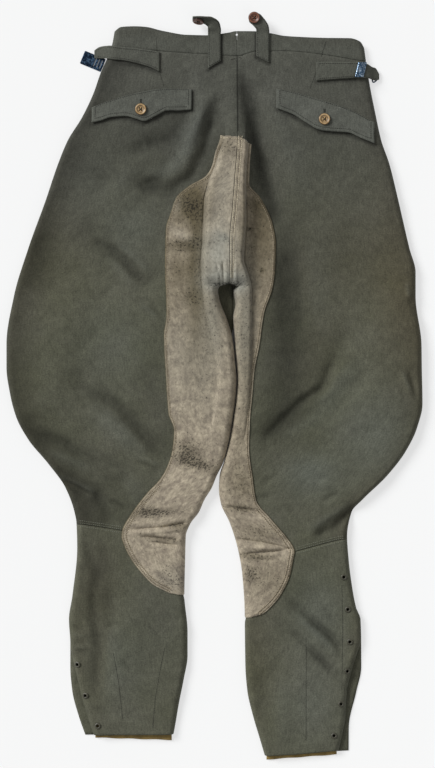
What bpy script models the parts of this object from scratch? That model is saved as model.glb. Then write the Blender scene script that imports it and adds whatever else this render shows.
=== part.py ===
"""Riding breeches in wool with suede strapping, laid flat with the back up.

The front panels lie flat on the surface. The back panels arch over them as one thin wall each, with a
rounded turn at the side seam and at the inside leg, the raised fold at the seat and the largest folds.
X runs to the right of someone looking at the back, Y towards the waist, Z up. Down is measured from the
top of the waist towards the hem. Sizes are in millimetres until a mesh is made.
"""

import math

import bpy
import numpy as np
from mathutils import Vector
from mathutils.bvhtree import BVHTree

# Driving sizes
WAIST_Y = 518.7
CENTRE_ACROSS = -0.5
CLOTH = 1.6
SUEDE = 1.2
GAP = 0.3
STRAP_LIFT = 1.5
EDGE_RADIUS = 9.0
FLANK_WIDTH = 18.0
BUTTON_RADIUS = 8.5
BUTTON_THICKNESS = 3.0
EYELET_RADIUS = 4.6
EYELET_HOLE = 2.1
EYELET_THICKNESS = 0.9
TAB_WIDTH = 18.8
TAB_THICKNESS = 2.0
STRAP_THICKNESS = 2.4
STEEL = 1.4
FRONT_WAIST_DROP = 12.0
FRONT_SEAM_DROP = 14.0
TAPE_SHOWING = {"left": (3.5, 8.0), "right": (4.0, 3.5)}
TAPE_WIDTH = 22.0
TAPE_THICKNESS = 0.8
WAIST_HOLE_RADIUS = 1.5
WAIST_HOLE_DOWN = 9.7
SEWN_LIFT = 0.8
FLAP_LIFT = 1.1
FLAP_CURL = 1.2
MILLIMETRE = 0.001

# Down values, each from where something starts to where it is full: the legs part below the seat seam, the
# suede wraps the inside leg, the front panels leave their seam, and the front strapping lies under them
LEGS_PART = (360.0, 372.0)
SUEDE_WRAPS = (364.0, 374.0)
FRONT_PARTS = (432.0, 452.0)
FRONT_LIFTS = (452.0, 480.0)

SIDES = ("left", "right")
INWARD = {"left": 1.0, "right": -1.0}
FRONT_TOP = CLOTH + GAP


def table(names, *rows):
    """Named columns from rows of numbers."""
    return dict(zip(names.split(), np.array(rows, float).T))


# Outlines, one row for each section
SIDE_SEAM = {
    "left": table("down across", (0, -145), (26, -150), (67, -167), (93, -176), (128, -192.5),
                  (162, -213.5), (197, -228), (250, -246), (319, -271), (389, -292), (458, -302.7),
                  (493, -302.7), (528, -298), (563, -289), (597, -271), (632, -242), (667, -217),
                  (702, -204), (719, -201), (754, -200), (824, -207), (858, -212), (893, -210),
                  (928, -210), (963, -207), (998, -198), (1032, -186)),
    "right": table("down across", (26, 217), (48, 220), (80, 225), (128, 234.5), (162, 242), (197, 254),
                   (250, 267), (319, 283), (354, 292), (389, 292), (458, 300.5), (493, 301), (545, 302),
                   (580, 294), (615, 277), (650, 250), (684, 215), (702, 199), (737, 192.5),
                   (771, 194.7), (806, 199), (841, 205.5), (858, 212), (893, 213), (928, 213),
                   (963, 206), (1015, 195), (1050, 194.7)),
}
SEAT_SEAM = table("down across", (0, 32), (150, 33), (216, 29), (267, 25), (307, 21.5), (367, 21))
INSIDE_LEG = {
    "left": table("down across", (360, 20.8), (366, 14), (372, 6), (380, 5), (394, 7), (423, 18),
                  (452, 26.5), (481, 30), (510, 32), (539, 30), (568, 26), (599, 20.7), (629, 12.7),
                  (650, 2.5), (666, -4), (684, -15), (702, -23), (718, -35), (737, -42), (771, -43),
                  (824, -44), (876, -39.5), (911, -39.5), (945, -45), (980, -52), (1015, -58),
                  (1035, -62)),
    "right": table("down across", (360, 21.4), (366, 28), (372, 31.5), (381, 26), (400, 30), (419, 26.8),
                   (440, 28), (467, 29.4), (481, 30.8), (510, 32.8), (539, 30.8), (568, 26.8),
                   (599, 21.5), (629, 13.5), (650, 7), (670, 6), (690, 9), (715, 20.7), (742, 30),
                   (767, 36), (793, 40), (844, 43.4), (887, 43.9), (928, 44.6), (963, 47.5),
                   (998, 55.5), (1032, 65.6), (1057, 73)),
}
RIDGE_FOOT = {
    "left": table("down across", (0, 16), (120, 16), (157, 16), (180, 9), (200, 3), (216, -4), (232, -9),
                  (249, -12.3), (307, -14), (341, -16.5), (367, -15), (405, -11), (451, 1), (506, 8),
                  (560, 0), (600, -8), (650, -24), (700, -46), (760, -58), (825, -56), (1040, -76)),
    "right": table("down across", (0, 47), (168, 46.5), (200, 44), (226, 43), (271, 43.5), (338, 39.5),
                   (352, 44.3), (381, 51.7), (439, 51.7), (529, 49), (565, 45), (600, 40), (650, 28),
                   (700, 34), (760, 54), (844, 60), (1060, 92)),
}
STRAP_EDGE = {
    "left": table("down across", (0, 2), (120, 2), (157, 8), (180, 1), (200, -4), (214, -12), (231, -39),
                  (246.5, -56), (267, -63.4), (291, -70.7), (341, -72), (416, -70), (445, -73.6),
                  (507, -70.7), (558, -67), (584, -59), (609, -61), (636, -69), (655, -80), (673, -97),
                  (693, -113), (712, -126), (728, -134), (737, -135), (752, -130.5), (773, -119.5),
                  (793, -103.6), (807, -89.5), (823, -64), (860, -100), (1040, -110)),
    "right": table("down across", (0, 58), (120, 58), (157, 53), (190, 51), (226, 50), (246, 65.6),
                   (267, 77.2), (287, 84.5), (313, 88.4), (349, 87.4), (374, 84.5), (393, 78.7),
                   (412, 72), (465, 64), (494, 58), (528, 55), (573, 51), (609, 50), (654, 55.5),
                   (684, 60), (712, 82), (739, 105), (758, 116), (771, 114), (795, 109), (824, 94.6),
                   (841, 80), (855, 67), (890, 100), (1060, 115)),
}
LACING_EDGE = {
    "left": table("down across", (900, -210), (937, -201.5), (968, -194), (1000, -184.5), (1032, -174)),
    "right": table("down across", (890, 213), (938, 197.6), (966, 192), (1000, 190), (1028, 185),
                   (1054, 178.5)),
}
WAIST_EDGE = table("across down", (-145, 3), (-136, -2), (-118, -3), (-100, -2), (-76, 3.5), (-40, 9.5),
                   (-10, 10), (19, 6.5), (32, 4), (56, 4.2), (80, 7), (102, 11), (160, 13.8), (196, 14.5),
                   (210.6, 19), (217, 27), (220, 36))

FRONT_SEAM = table("down across", (0, 32), (200, 30), (367, 27), (432, 27.3))
FRONT_STRAP = table("down width", (470, 30), (540, 42), (640, 52), (740, 70), (800, 48), (860, 30))
FLY = table("down left right", (30, -28, 14), (140, -28, 14), (245, -26, 14), (260, -12, 10))
POCKET_FLAP = {
    "left": table("across top bottom", (-178, 116, 138), (-165, 110.5, 135.5), (-150, 106, 130.5),
                  (-130, 99.5, 129), (-113, 95, 133), (-103, 93, 136), (-87, 90, 129), (-69, 88.5, 120.5),
                  (-50, 89, 120), (-33, 90, 119)),
    "right": table("across top bottom", (231, 138, 168), (213, 128, 161), (193, 118, 152.5),
                   (170, 110, 151), (152, 104.5, 149), (132, 98.5, 138), (113, 93.5, 126),
                   (97, 90, 120), (89, 89, 117)),
}
POCKET_BUTTON = {"left": (-107, 119), "right": (158.5, 133.5)}
# The cinch straps leave the cloth at the side and come down to their buckles; height 0 means on the cloth
CINCH_STRAP = {
    "left": table("across top bottom height", (-80, 34.8, 63.8, 0), (-92, 32.5, 58, 0), (-105, 31, 53.7, 0),
                  (-120, 29, 50, 0), (-134, 28, 47.5, 0), (-145, 26.5, 46.5, 13.5), (-153, 26, 45, 11.5),
                  (-160, 26, 43.8, 7.5), (-167, 27, 43.5, 4.2), (-174.5, 31.5, 43, 2)),
    "right": table("across top bottom height", (147, 49.5, 77, 0), (160, 49.5, 76, 0), (174, 49.5, 75, 0),
                   (188, 49.5, 74, 0), (204, 49.5, 73, 0), (214, 50.5, 73, 14), (221, 53, 73, 12),
                   (227, 56, 74, 7), (233, 57.5, 75.5, 4), (238.5, 66, 74, 2.5)),
}
# Brace tabs: on the cloth up to the waist, then free. Turn is the heading from +Y towards -X, lean the twist
BRACE_TAB = {
    "left": dict(across=-0.5, ends=(59.5, 47.9), free=table(
        "across down height turn lean", (-0.5, 1, 14, 0, 0), (-2, -4, 16, 30, 20), (-7, -8.5, 16.5, 62, 48),
        (-14, -11, 16, 78, 66), (-23, -12.8, 15, 80, 74), (-32, -14.4, 14, 80, 76))),
    "right": dict(across=69.8, ends=(41.3, 51), free=table(
        "across down height turn lean", (69, 0.5, 14, 12, 0), (66.5, -4, 14.5, 24, 0),
        (62.5, -9, 14.5, 34, 4), (57.5, -14, 14, 38, 6), (54, -18, 13.5, 38, 8))),
}
TAB_BUTTON_ROW = {"left": 4, "right": 3}
# Left buckle: half length, half width, slot and bar. Right buckle: a slide plate with a rolled edge, a wire
BUCKLE_LEFT = dict(place=(-178.5, 46.5), turn=math.radians(-22.4), sizes=(15.0, 10.0, 2.6, 2.0))
SLIDE_PLATE = table("along rise", (-7, 0.4), (-6.2, 1.9), (-5, 2.2), (-3.6, 1), (-1, 0.5), (2, 0.5),
                    (4.5, 0.5), (6.5, 0.6))
SLIDE_HALF_WIDTH = 11.0
SLIDE_PLACE = (211.5, 61.5)
SLIDE_LEAN = math.radians(13)
WIRE_RADIUS = 1.0
WIRE_CORNERS = ((228.5, 60.5), (234.5, 60.5), (237.0, 71.5), (230.0, 77.0))
EYELETS = {
    "left": ((-199, 923), (-187.4, 968), (-169.7, 1012)),
    "right": ((187, 796), (193, 843), (196, 890), (192, 932.4), (183, 980), (173, 1026)),
}

# Where each panel starts and ends, at the side seam and at the inner edge, and the sag of the seam between
SEAMS = {
    "left": dict(waist=(28, 41, 2), knee=(720, 733), hem=(1026, 1025)),
    "right": dict(waist=(48, 41, -11), knee=(742, 767), hem=(1049, 1056)),
}

# Rows of the calf's grid as shares of the way from knee to hem, and the rows where the back strapping ends
CALF_STEPS = np.array([0, 0.055, 0.11, 0.165, 0.215, 0.262, 0.305, 0.337, 0.45, 0.59, 0.73, 0.87, 1.0])
STRAP_FIRST_ROW = 4
STRAP_LAST_CALF_ROW = 6

# Height of the cloth above the surface, and how far the seat's ridge and the leg rolls stand above it
LOFT = table("down height", (0, 10.5), (60, 12), (200, 13.5), (640, 14), (720, 12.5), (780, 12), (1060, 10.5))
RIDGE = table("down rise", (40, 0), (90, 2), (130, 7), (160, 13), (200, 18), (260, 21), (330, 21),
              (358, 19), (376, 9), (430, 7), (480, 6), (560, 3), (620, 0), (1060, 0))
FOLDS = table("across down to_across to_down width rise",
              (-7, 104, -43, 206, 14, 4.5),
              (3, 130, -94, 232, 13, -4.0),
              (-188, 206, -94, 228, 18, -3.0),
              (48, 97, 88, 271, 16, -4.5),
              (105, 351, 116, 409, 18, -3.0),
              (-174, 300, -94, 365, 22, -3.5),
              (-188, 518, -72, 612, 20, -4.5),
              (-268, 583, -130, 648, 18, -4.0),
              (80, 590, 211, 510, 20, -4.5),
              (-224, 655, -170, 676, 12, -4.0),
              (158, 724, 199, 699, 12, -4.0),
              (-235, 440, -235, 520, 50, 7.0),
              (240, 440, 240, 520, 50, 7.0),
              (-120, 120, -140, 160, 40, 3.0),
              (150, 150, 165, 190, 40, 3.0),
              (-110, 420, -100, 470, 40, 4.0),
              (160, 400, 150, 460, 40, 4.0),
              (-120, 850, -130, 960, 30, 2.0),
              (125, 870, 125, 980, 30, 2.0),
              (-159, 764, -150, 844, 13, -2.5),
              (102, 815, 185, 902, 13, -2.5))
LOWEST_FIELD = 8.8


def curve(points, column, at, key="down"):
    """Smooth curve through one column of a table, which never overshoots its rows (monotone cubic)."""
    x = points[key]
    y = points[column]
    at = np.clip(np.asarray(at, float), x[0], x[-1])
    step = np.diff(x)
    slope = np.diff(y) / step
    product = slope[:-1] * slope[1:]
    mean = np.where(product > 0, 2 * product / np.where(product > 0, slope[:-1] + slope[1:], 1), 0)
    tangent = np.concatenate([[slope[0]], mean, [slope[-1]]])
    i = np.clip(np.searchsorted(x, at, side="right") - 1, 0, len(x) - 2)
    t = (at - x[i]) / step[i]
    return (y[i] * (1 + 2 * t) * (1 - t) ** 2 + tangent[i] * step[i] * t * (1 - t) ** 2
            + y[i + 1] * t * t * (3 - 2 * t) - tangent[i + 1] * step[i] * t * t * (1 - t))


def smooth(start, end, at):
    """0 before start and 1 after end, eased between."""
    t = np.clip((at - start) / (end - start), 0, 1)
    return t * t * (3 - 2 * t)


def inner_edge(side, down):
    """Silhouette at the inner side: the seat seam above the fork, then the inside leg."""
    seam = curve(SEAT_SEAM, "across", down) - INWARD[side] * GAP / 2
    return np.where(down < LEGS_PART[0] + 1, seam, curve(INSIDE_LEG[side], "across", down))


def calf_row(side, row):
    """Inner down value of one row of the calf's grid."""
    knee = SEAMS[side]["knee"][1]
    return knee + (SEAMS[side]["hem"][1] - knee) * CALF_STEPS[row]


def covered(side, down):
    """1 where the suede wraps the inside leg, so that the wool stands back by the suede's thickness."""
    last = calf_row(side, STRAP_LAST_CALF_ROW) + 0.1
    return smooth(*SUEDE_WRAPS, down) * (1 - smooth(last, calf_row(side, STRAP_LAST_CALF_ROW + 1), down))


def lifted(side, down):
    """1 where the front strapping lies under the front panel."""
    last = calf_row(side, STRAP_LAST_CALF_ROW)
    return smooth(*FRONT_LIFTS, down) * (1 - smooth(calf_row(side, STRAP_LAST_CALF_ROW - 1), last, down))


def field_height(across, down):
    """Height of the back's outer face away from its edges: loft, folds, and the ridge between its feet."""
    height = curve(LOFT, "height", down) + 0 * across
    for x0, y0, x1, y1, width, rise in zip(*FOLDS.values()):
        length = (x1 - x0) ** 2 + (y1 - y0) ** 2
        t = np.clip(((across - x0) * (x1 - x0) + (down - y0) * (y1 - y0)) / length, 0, 1)
        away = (across - x0 - t * (x1 - x0)) ** 2 + (down - y0 - t * (y1 - y0)) ** 2
        height = height + rise * np.exp(-away / width ** 2)
    height = LOWEST_FIELD + np.logaddexp(0, (height - LOWEST_FIELD) * 1.2) / 1.2
    left = smooth(0, FLANK_WIDTH, across - curve(RIDGE_FOOT["left"], "across", down))
    right = smooth(0, FLANK_WIDTH, curve(RIDGE_FOOT["right"], "across", down) - across)
    return height + curve(RIDGE, "rise", down) * left * right


def turned(distance):
    """Quarter turn at an edge: 0 at the edge, 1 a radius inside it."""
    inside = np.clip(distance / EDGE_RADIUS, 0, 1)
    return np.sqrt(1 - (1 - inside) ** 2)


class BackFace:
    """Outer face of one side of the back, as a height above the surface."""

    def __init__(self, side, outline):
        self.side = side
        self.way = INWARD[side]
        self.outline = outline

    def outer(self, down):
        return self.outline(self.side, down)

    def inner(self, down):
        return inner_edge(self.side, down) - self.way * (SUEDE + GAP) * covered(self.side, down)

    def height(self, across, down):
        level = field_height(across, down)
        outer = turned((across - self.outer(down)) * self.way)
        level = FRONT_TOP + (level - FRONT_TOP) * outer
        rest = FRONT_TOP + STRAP_LIFT * covered(self.side, down)
        opened = smooth(*LEGS_PART, down)
        inner = 1 - opened * (1 - turned((self.inner(down) - across) * self.way))
        return rest + (level - rest) * inner

    def normal(self, across, down):
        """Outward normal, level at the two edges where the wall meets the front panel."""
        near = 0.4
        slope_x = (self.height(across + near, down) - self.height(across - near, down)) / (2 * near)
        slope_y = (self.height(across, down - near) - self.height(across, down + near)) / (2 * near)
        normal = np.stack([-slope_x, -slope_y, np.ones_like(slope_x)], axis=-1)
        normal /= np.linalg.norm(normal, axis=-1, keepdims=True)
        at_outer = 1 - smooth(0, 0.3, (across - self.outer(down)) * self.way)
        at_inner = smooth(LEGS_PART[0] + 1, LEGS_PART[1], down)
        at_inner = at_inner * (1 - smooth(0, 0.3, (self.inner(down) - across) * self.way))
        level = np.stack([self.way * (at_inner - at_outer), 0 * slope_x, 0 * slope_x], axis=-1)
        share = np.maximum(at_outer, at_inner)[..., None]
        normal = normal * (1 - share) + level
        return normal / np.linalg.norm(normal, axis=-1, keepdims=True)


def side_outline(side, down):
    return curve(SIDE_SEAM[side], "across", down)


def lacing_outline(side, down):
    """The calf's back panel ends at the lacing edge below the swell of the calf."""
    silhouette = side_outline(side, down)
    lacing = curve(LACING_EDGE[side], "across", down)
    return np.where(down < LACING_EDGE[side]["down"][0], silhouette, lacing)


# Columns across a back panel: the turn at the side seam, the field as far as the strapping's edge, from there
# to the ridge's foot, the ridge's flank, its crest, and the turn at the inside leg
TURN = EDGE_RADIUS * (1 - np.cos(np.radians([0, 32, 62, 90])))
FIELD_STEPS = 8
STRAP_STEPS = 3
FLANK = FLANK_WIDTH * np.array([1, 2, 3]) / 3
CREST_STEPS = 1
# How far each column is from the side seam to the inner edge, by which the rows slope
SHARE = np.concatenate([np.zeros(len(TURN)), np.linspace(0, 0.7, FIELD_STEPS + 1)[1:],
                        np.linspace(0.7, 0.86, STRAP_STEPS + 1)[1:],
                        [0.88, 0.9, 0.92, 0.96, 0.98, 0.99, 1.0]])
EDGE_COLUMN = len(TURN) + FIELD_STEPS - 1


def column_places(face, downs):
    """Across positions of the columns for rows of down values, shape (rows, columns)."""
    way = face.way
    inner = face.inner(downs)
    foot = curve(RIDGE_FOOT[face.side], "across", downs)
    edge = curve(STRAP_EDGE[face.side], "across", downs)
    turn_start = face.outer(downs) + way * EDGE_RADIUS
    turn_end = inner - way * EDGE_RADIUS
    flank_share = np.minimum((turn_end - foot) * way * 0.9, FLANK_WIDTH) / FLANK_WIDTH
    flank_end = foot + way * FLANK_WIDTH * flank_share
    groups = [(turn_start - way * EDGE_RADIUS, turn_start, TURN / EDGE_RADIUS),
              (turn_start, edge, np.arange(1, FIELD_STEPS + 1) / FIELD_STEPS),
              (edge, foot, np.arange(1, STRAP_STEPS + 1) / STRAP_STEPS),
              (foot, flank_end, FLANK / FLANK_WIDTH),
              (flank_end, turn_end, np.arange(1, CREST_STEPS + 1) / CREST_STEPS),
              (turn_end, inner, 1 - TURN[-2::-1] / EDGE_RADIUS)]
    places = np.empty(downs.shape)
    first = 0
    for start, end, shares in groups:
        columns = slice(first, first + len(shares))
        places[:, columns] = start[:, columns] + (end - start)[:, columns] * shares
        first = columns.stop
    return places


def rows_between(outer_downs, inner_downs, dip=None):
    """Down value of each grid point, sloped from the side seam to the inner edge."""
    outer_downs = np.asarray(outer_downs, float)[:, None]
    inner_downs = np.asarray(inner_downs, float)[:, None]
    downs = outer_downs + (inner_downs - outer_downs) * SHARE
    if dip is not None:
        downs = downs + np.asarray(dip)[:, None] * np.sin(np.pi * SHARE)
    return downs


def to_world(across, down, height):
    """Places in the row's frame, in millimetres."""
    return np.stack(np.broadcast_arrays(across - CENTRE_ACROSS, WAIST_Y - down, height), axis=-1)


def material(name, colour, roughness, metallic=0.0):
    shade = bpy.data.materials.get(name) or bpy.data.materials.new(name)
    shade.use_nodes = True
    surface = shade.node_tree.nodes["Principled BSDF"]
    surface.inputs["Base Color"].default_value = (*colour, 1)
    surface.inputs["Roughness"].default_value = roughness
    surface.inputs["Metallic"].default_value = metallic
    shade.diffuse_color = (*colour, 1)
    return shade


def add_object(name, points, faces, shade):
    """Object from points in millimetres and faces turned outwards."""
    points = np.asarray(points, float) * MILLIMETRE
    faces = np.asarray(faces)
    corners = points[faces[:, :3]]
    volume = np.einsum("ij,ij->", corners[:, 0], np.cross(corners[:, 1], corners[:, 2]))
    if volume < 0:
        faces = faces[:, ::-1]
    mesh = bpy.data.meshes.new(name)
    mesh.from_pydata(points.tolist(), [], faces.tolist())
    mesh.materials.append(shade)
    mesh.shade_smooth()
    mesh.set_sharp_from_angle(angle=math.radians(40))
    piece = bpy.data.objects.new(name, mesh)
    PARTS.objects.link(piece)
    return piece


def grid_triangles(rows, columns):
    """Grid of point numbers, and two triangles for each of its cells."""
    index = np.arange(rows * columns).reshape(rows, columns)
    a, b, c, d = index[:-1, :-1], index[1:, :-1], index[1:, 1:], index[:-1, 1:]
    halves = [np.stack([a, b, c], -1).reshape(-1, 3), np.stack([a, c, d], -1).reshape(-1, 3)]
    return index, np.concatenate(halves)


def wall(name, top, bottom, shade):
    """Closed wall between two grids of points, in triangles with the same diagonals on both faces."""
    rows, columns = top.shape[:2]
    index, upper = grid_triangles(rows, columns)
    lower = upper[:, ::-1] + rows * columns
    rim = np.concatenate([index[:, 0], index[-1, 1:], index[-2::-1, -1], index[0, -2:0:-1]])
    following = np.roll(rim, -1)
    under = rows * columns
    sides = np.concatenate([np.stack([rim, rim + under, following + under], -1),
                            np.stack([rim, following + under, following], -1)])
    points = np.concatenate([top.reshape(-1, 3), bottom.reshape(-1, 3)])
    return add_object(name, points, np.concatenate([upper, lower, sides]), shade)


def back_wall(name, side, downs, outline, shade):
    """One back panel: its outer face, and the inner face a cloth's thickness inside it."""
    face = BackFace(side, outline)
    across = column_places(face, downs)
    top = to_world(across, downs, face.height(across, downs))
    normal = face.normal(across, downs)
    bottom = top - normal * CLOTH
    lowest = FRONT_TOP + STRAP_LIFT * covered(side, downs) * (SHARE > 0.5)
    bottom[..., 2] = np.maximum(bottom[..., 2], lowest)
    panel = wall(name, top, bottom, shade)
    return panel, top


def thigh_rows(side):
    """Rows from the waist seam to the knee seam, closer together at the fork, plus the waistband's dip."""
    waist_outer, waist_inner, dip = SEAMS[side]["waist"]
    knee_outer, knee_inner = SEAMS[side]["knee"]
    above = np.array([waist_inner, 72, 104, 132, 157, 178, 203, 231, 262, 294, 324, 346, 358])
    fork = np.array([365, 371, 379, 392, 408, 428, 452, 480])
    below = np.concatenate([[508, 538, 568, 600, 630], np.linspace(660, knee_inner, 4)])
    inner = np.concatenate([above, fork, below])
    outer = waist_outer + (inner - waist_inner) * (knee_outer - waist_outer) / (knee_inner - waist_inner)
    sag = dip * np.clip(1 - (inner - waist_inner) / 120, 0, 1)
    return outer, inner, sag



def calf_rows(side):
    """Rows from the knee seam to the hem, as down values at the side and at the inside leg."""
    knee = np.array(SEAMS[side]["knee"], float)[:, None]
    hem = np.array(SEAMS[side]["hem"], float)[:, None]
    return knee + (hem - knee) * CALF_STEPS


def clear_scene():
    for thing in list(bpy.data.objects):
        bpy.data.objects.remove(thing, do_unlink=True)


class Ground:
    """What a piece is laid on: grids of outer points, met from above."""

    def __init__(self, *grids):
        points, faces, count = [], [], 0
        for grid in grids:
            _, triangles = grid_triangles(*grid.shape[:2])
            points.append(grid.reshape(-1, 3))
            faces.append(triangles + count)
            count += grid.shape[0] * grid.shape[1]
        self.tree = BVHTree.FromPolygons(np.concatenate(points).tolist(), np.concatenate(faces).tolist())

    def at(self, across, down):
        """Point and upward normal under one place."""
        place, normal, _, _ = self.tree.ray_cast(Vector(to_world(across, down, 200)), Vector((0, 0, -1)))
        if place is None:
            place, normal, _, _ = self.tree.find_nearest(Vector(to_world(across, down, 10)))
        normal = np.array(normal)
        return np.array(place), normal * np.sign(normal[2])

    def over(self, across, down):
        """Points and normals under arrays of places."""
        found = np.array([self.at(x, y) for x, y in zip(np.ravel(across), np.ravel(down))])
        shape = (*np.shape(across), 3)
        return found[:, 0].reshape(shape), found[:, 1].reshape(shape)

    def seat(self, across, down, radius):
        """Centre and axis of a disc that just clears the ground all round."""
        turn = np.linspace(0, 2 * np.pi, 13)[:-1]
        ring, normals = self.over(across + radius * np.cos(turn), down + radius * np.sin(turn))
        centre, _ = self.at(across, down)
        axis = normals.mean(axis=0)
        axis /= np.linalg.norm(axis)
        highest = max(((ring - centre) @ axis).max(), 0)
        return centre + axis * (highest + GAP), axis


def build_back(side):
    """Waistband, thigh and calf of the back, which share their columns so that the seams run parallel."""
    outer, inner, sag = thigh_rows(side)
    downs = rows_between(outer, inner, sag)
    downs[0] += GAP / 2
    downs[-1] -= GAP / 2
    _, thigh_top = back_wall("back_" + side, side, downs, side_outline, WOOL)
    seam = rows_between(outer[:1], inner[:1], sag[:1])[0]
    top_places = column_places(BackFace(side, side_outline), seam[None])[0]
    top_edge = curve(WAIST_EDGE, "down", top_places, key="across")
    band = np.stack([top_edge, (top_edge + seam) / 2, seam - GAP / 2])
    waistband, band_top = back_wall("waistband_back_" + side, side, band, side_outline, WAISTBAND)
    calf_downs = rows_between(*calf_rows(side))
    calf_downs[0] += GAP / 2
    calf, calf_top = back_wall("calf_back_" + side, side, calf_downs, lacing_outline, WOOL)
    hole = to_world(curve(SEAT_SEAM, "across", 0), WAIST_HOLE_DOWN, curve(LOFT, "height", 0))
    cut_hole(waistband, hole, (0, 0, 1), WAIST_HOLE_RADIUS)
    return downs, calf_downs, calf, Ground(band_top, thigh_top), Ground(calf_top)


def build_strapping(side, thigh_downs, calf_downs):
    """Suede over the ridge, thigh and knee: the wool's points moved out, and a last column down to the base."""
    face = BackFace(side, side_outline)
    knee = (thigh_downs[-1:] + calf_downs[:1]) / 2
    downs = np.concatenate([thigh_downs[STRAP_FIRST_ROW:-1], knee, calf_downs[1:STRAP_LAST_CALF_ROW + 1]])
    across = column_places(face, downs)[:, EDGE_COLUMN:]
    downs = downs[:, EDGE_COLUMN:]
    wrap = covered(side, downs[:, -1:])
    seam_across = across[:, -1:].copy()
    across[:, -1:] -= face.way * SUEDE * (1 - wrap)
    base = to_world(across, downs, face.height(across, downs))
    normal = face.normal(across, downs)
    end = to_world(seam_across, downs[:, -1:], face.height(seam_across, downs[:, -1:]))
    foot_height = FRONT_TOP - (FRONT_TOP - SUEDE - GAP) * lifted(side, downs[:, -1:])
    end[..., 2] += (foot_height - end[..., 2]) * wrap
    base = np.concatenate([base, end], axis=1)
    normal = np.concatenate([normal, normal[:, -1:]], axis=1)
    wall("strapping_back_" + side, base + normal * (SUEDE + GAP), base + normal * GAP, SUEDE_SHADE)


def front_inner(side, down):
    """Inner edge of a front panel: the front seam as far as the fork, then just inside the suede."""
    seam = curve(FRONT_SEAM, "across", down) - INWARD[side] * GAP / 2
    leg = inner_edge(side, down) - INWARD[side] * (SUEDE + GAP) * covered(side, down)
    share = smooth(*FRONT_PARTS, down)
    return seam * (1 - share) + leg * share


def front_wall(name, side, outer_downs, inner_downs):
    """Flat front panel, raised by the suede's thickness where the front strapping lies under it."""
    share = np.array([0, 0.3, 0.6, 0.8, 0.9, 1.0])
    outer_downs = np.asarray(outer_downs, float)[:, None]
    downs = outer_downs + (np.asarray(inner_downs, float)[:, None] - outer_downs) * share
    way = INWARD[side]
    outer = side_outline(side, downs)
    inner = front_inner(side, downs)
    ramp_end = inner - way * (curve(FRONT_STRAP, "width", downs) + 4)
    ramp_start = ramp_end - way * 12
    field = outer + (ramp_start - outer) * np.array([0, 0.4, 0.8, 1, 1, 1])
    across = np.concatenate([field[:, :4], ramp_end[:, 4:5], inner[:, 5:]], axis=1)
    height = STRAP_LIFT * lifted(side, downs) * np.array([0, 0, 0, 0, 1, 1])
    wall(name, to_world(across, downs, height + CLOTH), to_world(across, downs, height), WOOL)
    return across[0], downs[0]


def build_front(side):
    waist_outer, waist_inner, _ = SEAMS[side]["waist"]
    knee_outer, knee_inner = SEAMS[side]["knee"]
    legs = thigh_rows(side)[1]
    legs = legs[legs >= FRONT_PARTS[1]]
    legs[-1] -= GAP / 2
    inner = np.concatenate([[waist_inner + FRONT_SEAM_DROP, 130, 200, 260, 320, 370, 410, 432, 442], legs])
    outer = waist_outer + (inner - waist_inner) * (knee_outer - waist_outer) / (knee_inner - waist_inner)
    across, seam = front_wall("front_" + side, side, outer, inner)
    outer, inner = calf_rows(side)
    front_wall("calf_front_" + side, side, outer + GAP / 2, inner + GAP / 2)
    top = np.minimum(curve(WAIST_EDGE, "down", across, key="across") + FRONT_WAIST_DROP, seam - 8)
    band = np.stack([top, seam - GAP])
    places = np.stack([across, across])
    places[:, 0] = side_outline(side, band[:, 0])
    wall("waistband_front_" + side, to_world(places, band, CLOTH), to_world(places, band, 0), WAISTBAND)
    calf = inner[:STRAP_LAST_CALF_ROW]
    calf[-1] -= 4
    downs = np.concatenate([legs[1:-1], calf])[:, None] + np.zeros(2)
    downs[0] += 2
    edge = inner_edge(side, downs)
    edge[:, 0] -= INWARD[side] * (curve(FRONT_STRAP, "width", downs[:, 0]) + SUEDE + GAP)
    wall("strapping_front_" + side, to_world(edge, downs, SUEDE), to_world(edge, downs, 0), SUEDE_SHADE)
    hem_outer, hem_inner = SEAMS[side]["hem"]
    margin = INWARD[side] * (CLOTH + 3 * GAP)
    places = np.linspace(lacing_outline(side, hem_outer) + margin, inner_edge(side, hem_inner) - margin, 5)
    hem = np.linspace(hem_outer, hem_inner, 5)
    lower = hem + np.linspace(*TAPE_SHOWING[side], 5)
    tape = np.stack([lower - TAPE_WIDTH, lower])
    places = np.stack([places, places])
    wall("hem_tape_" + side, to_world(places, tape, FRONT_TOP + TAPE_THICKNESS),
         to_world(places, tape, FRONT_TOP), TAPE)


def build_fly():
    """Lap behind the front opening, on the inner side of the front panels."""
    downs = FLY["down"][:, None] + np.zeros(2)
    across = curve(FRONT_SEAM, "across", downs) + np.stack([FLY["left"], FLY["right"]], axis=-1)
    wall("fly_lap", to_world(across, downs, FRONT_TOP + CLOTH), to_world(across, downs, FRONT_TOP), WOOL)


def build_flap(side, ground):
    """Pocket flap laid on the seat, its lower edge standing off a little."""
    outline = POCKET_FLAP[side]
    share = np.linspace(0, 1, 4)[:, None]
    downs = outline["top"] + (outline["bottom"] - outline["top"]) * share
    across = outline["across"] + 0 * share
    base, normal = ground.over(across, downs)
    lift = (FLAP_LIFT + FLAP_CURL * share * share)[..., None] + 0 * base
    top = base + normal * (lift + CLOTH)
    wall("pocket_flap_" + side, top, base + normal * lift, WAISTBAND)
    place, axis = Ground(top).seat(*POCKET_BUTTON[side], BUTTON_RADIUS)
    add_button("pocket_button_" + side, place, axis, HORN)


def add_button(name, place, axis, shade):
    """Turned button: a rounded rim round a shallow dish."""
    r = BUTTON_RADIUS
    t = BUTTON_THICKNESS
    profile = [(0, t * 0.6), (r * 0.55, t * 0.6), (r * 0.75, t), (r, t * 0.6), (r * 0.85, 0), (0, 0)]
    add_turned(name, profile, 16, place, axis, shade)


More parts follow.
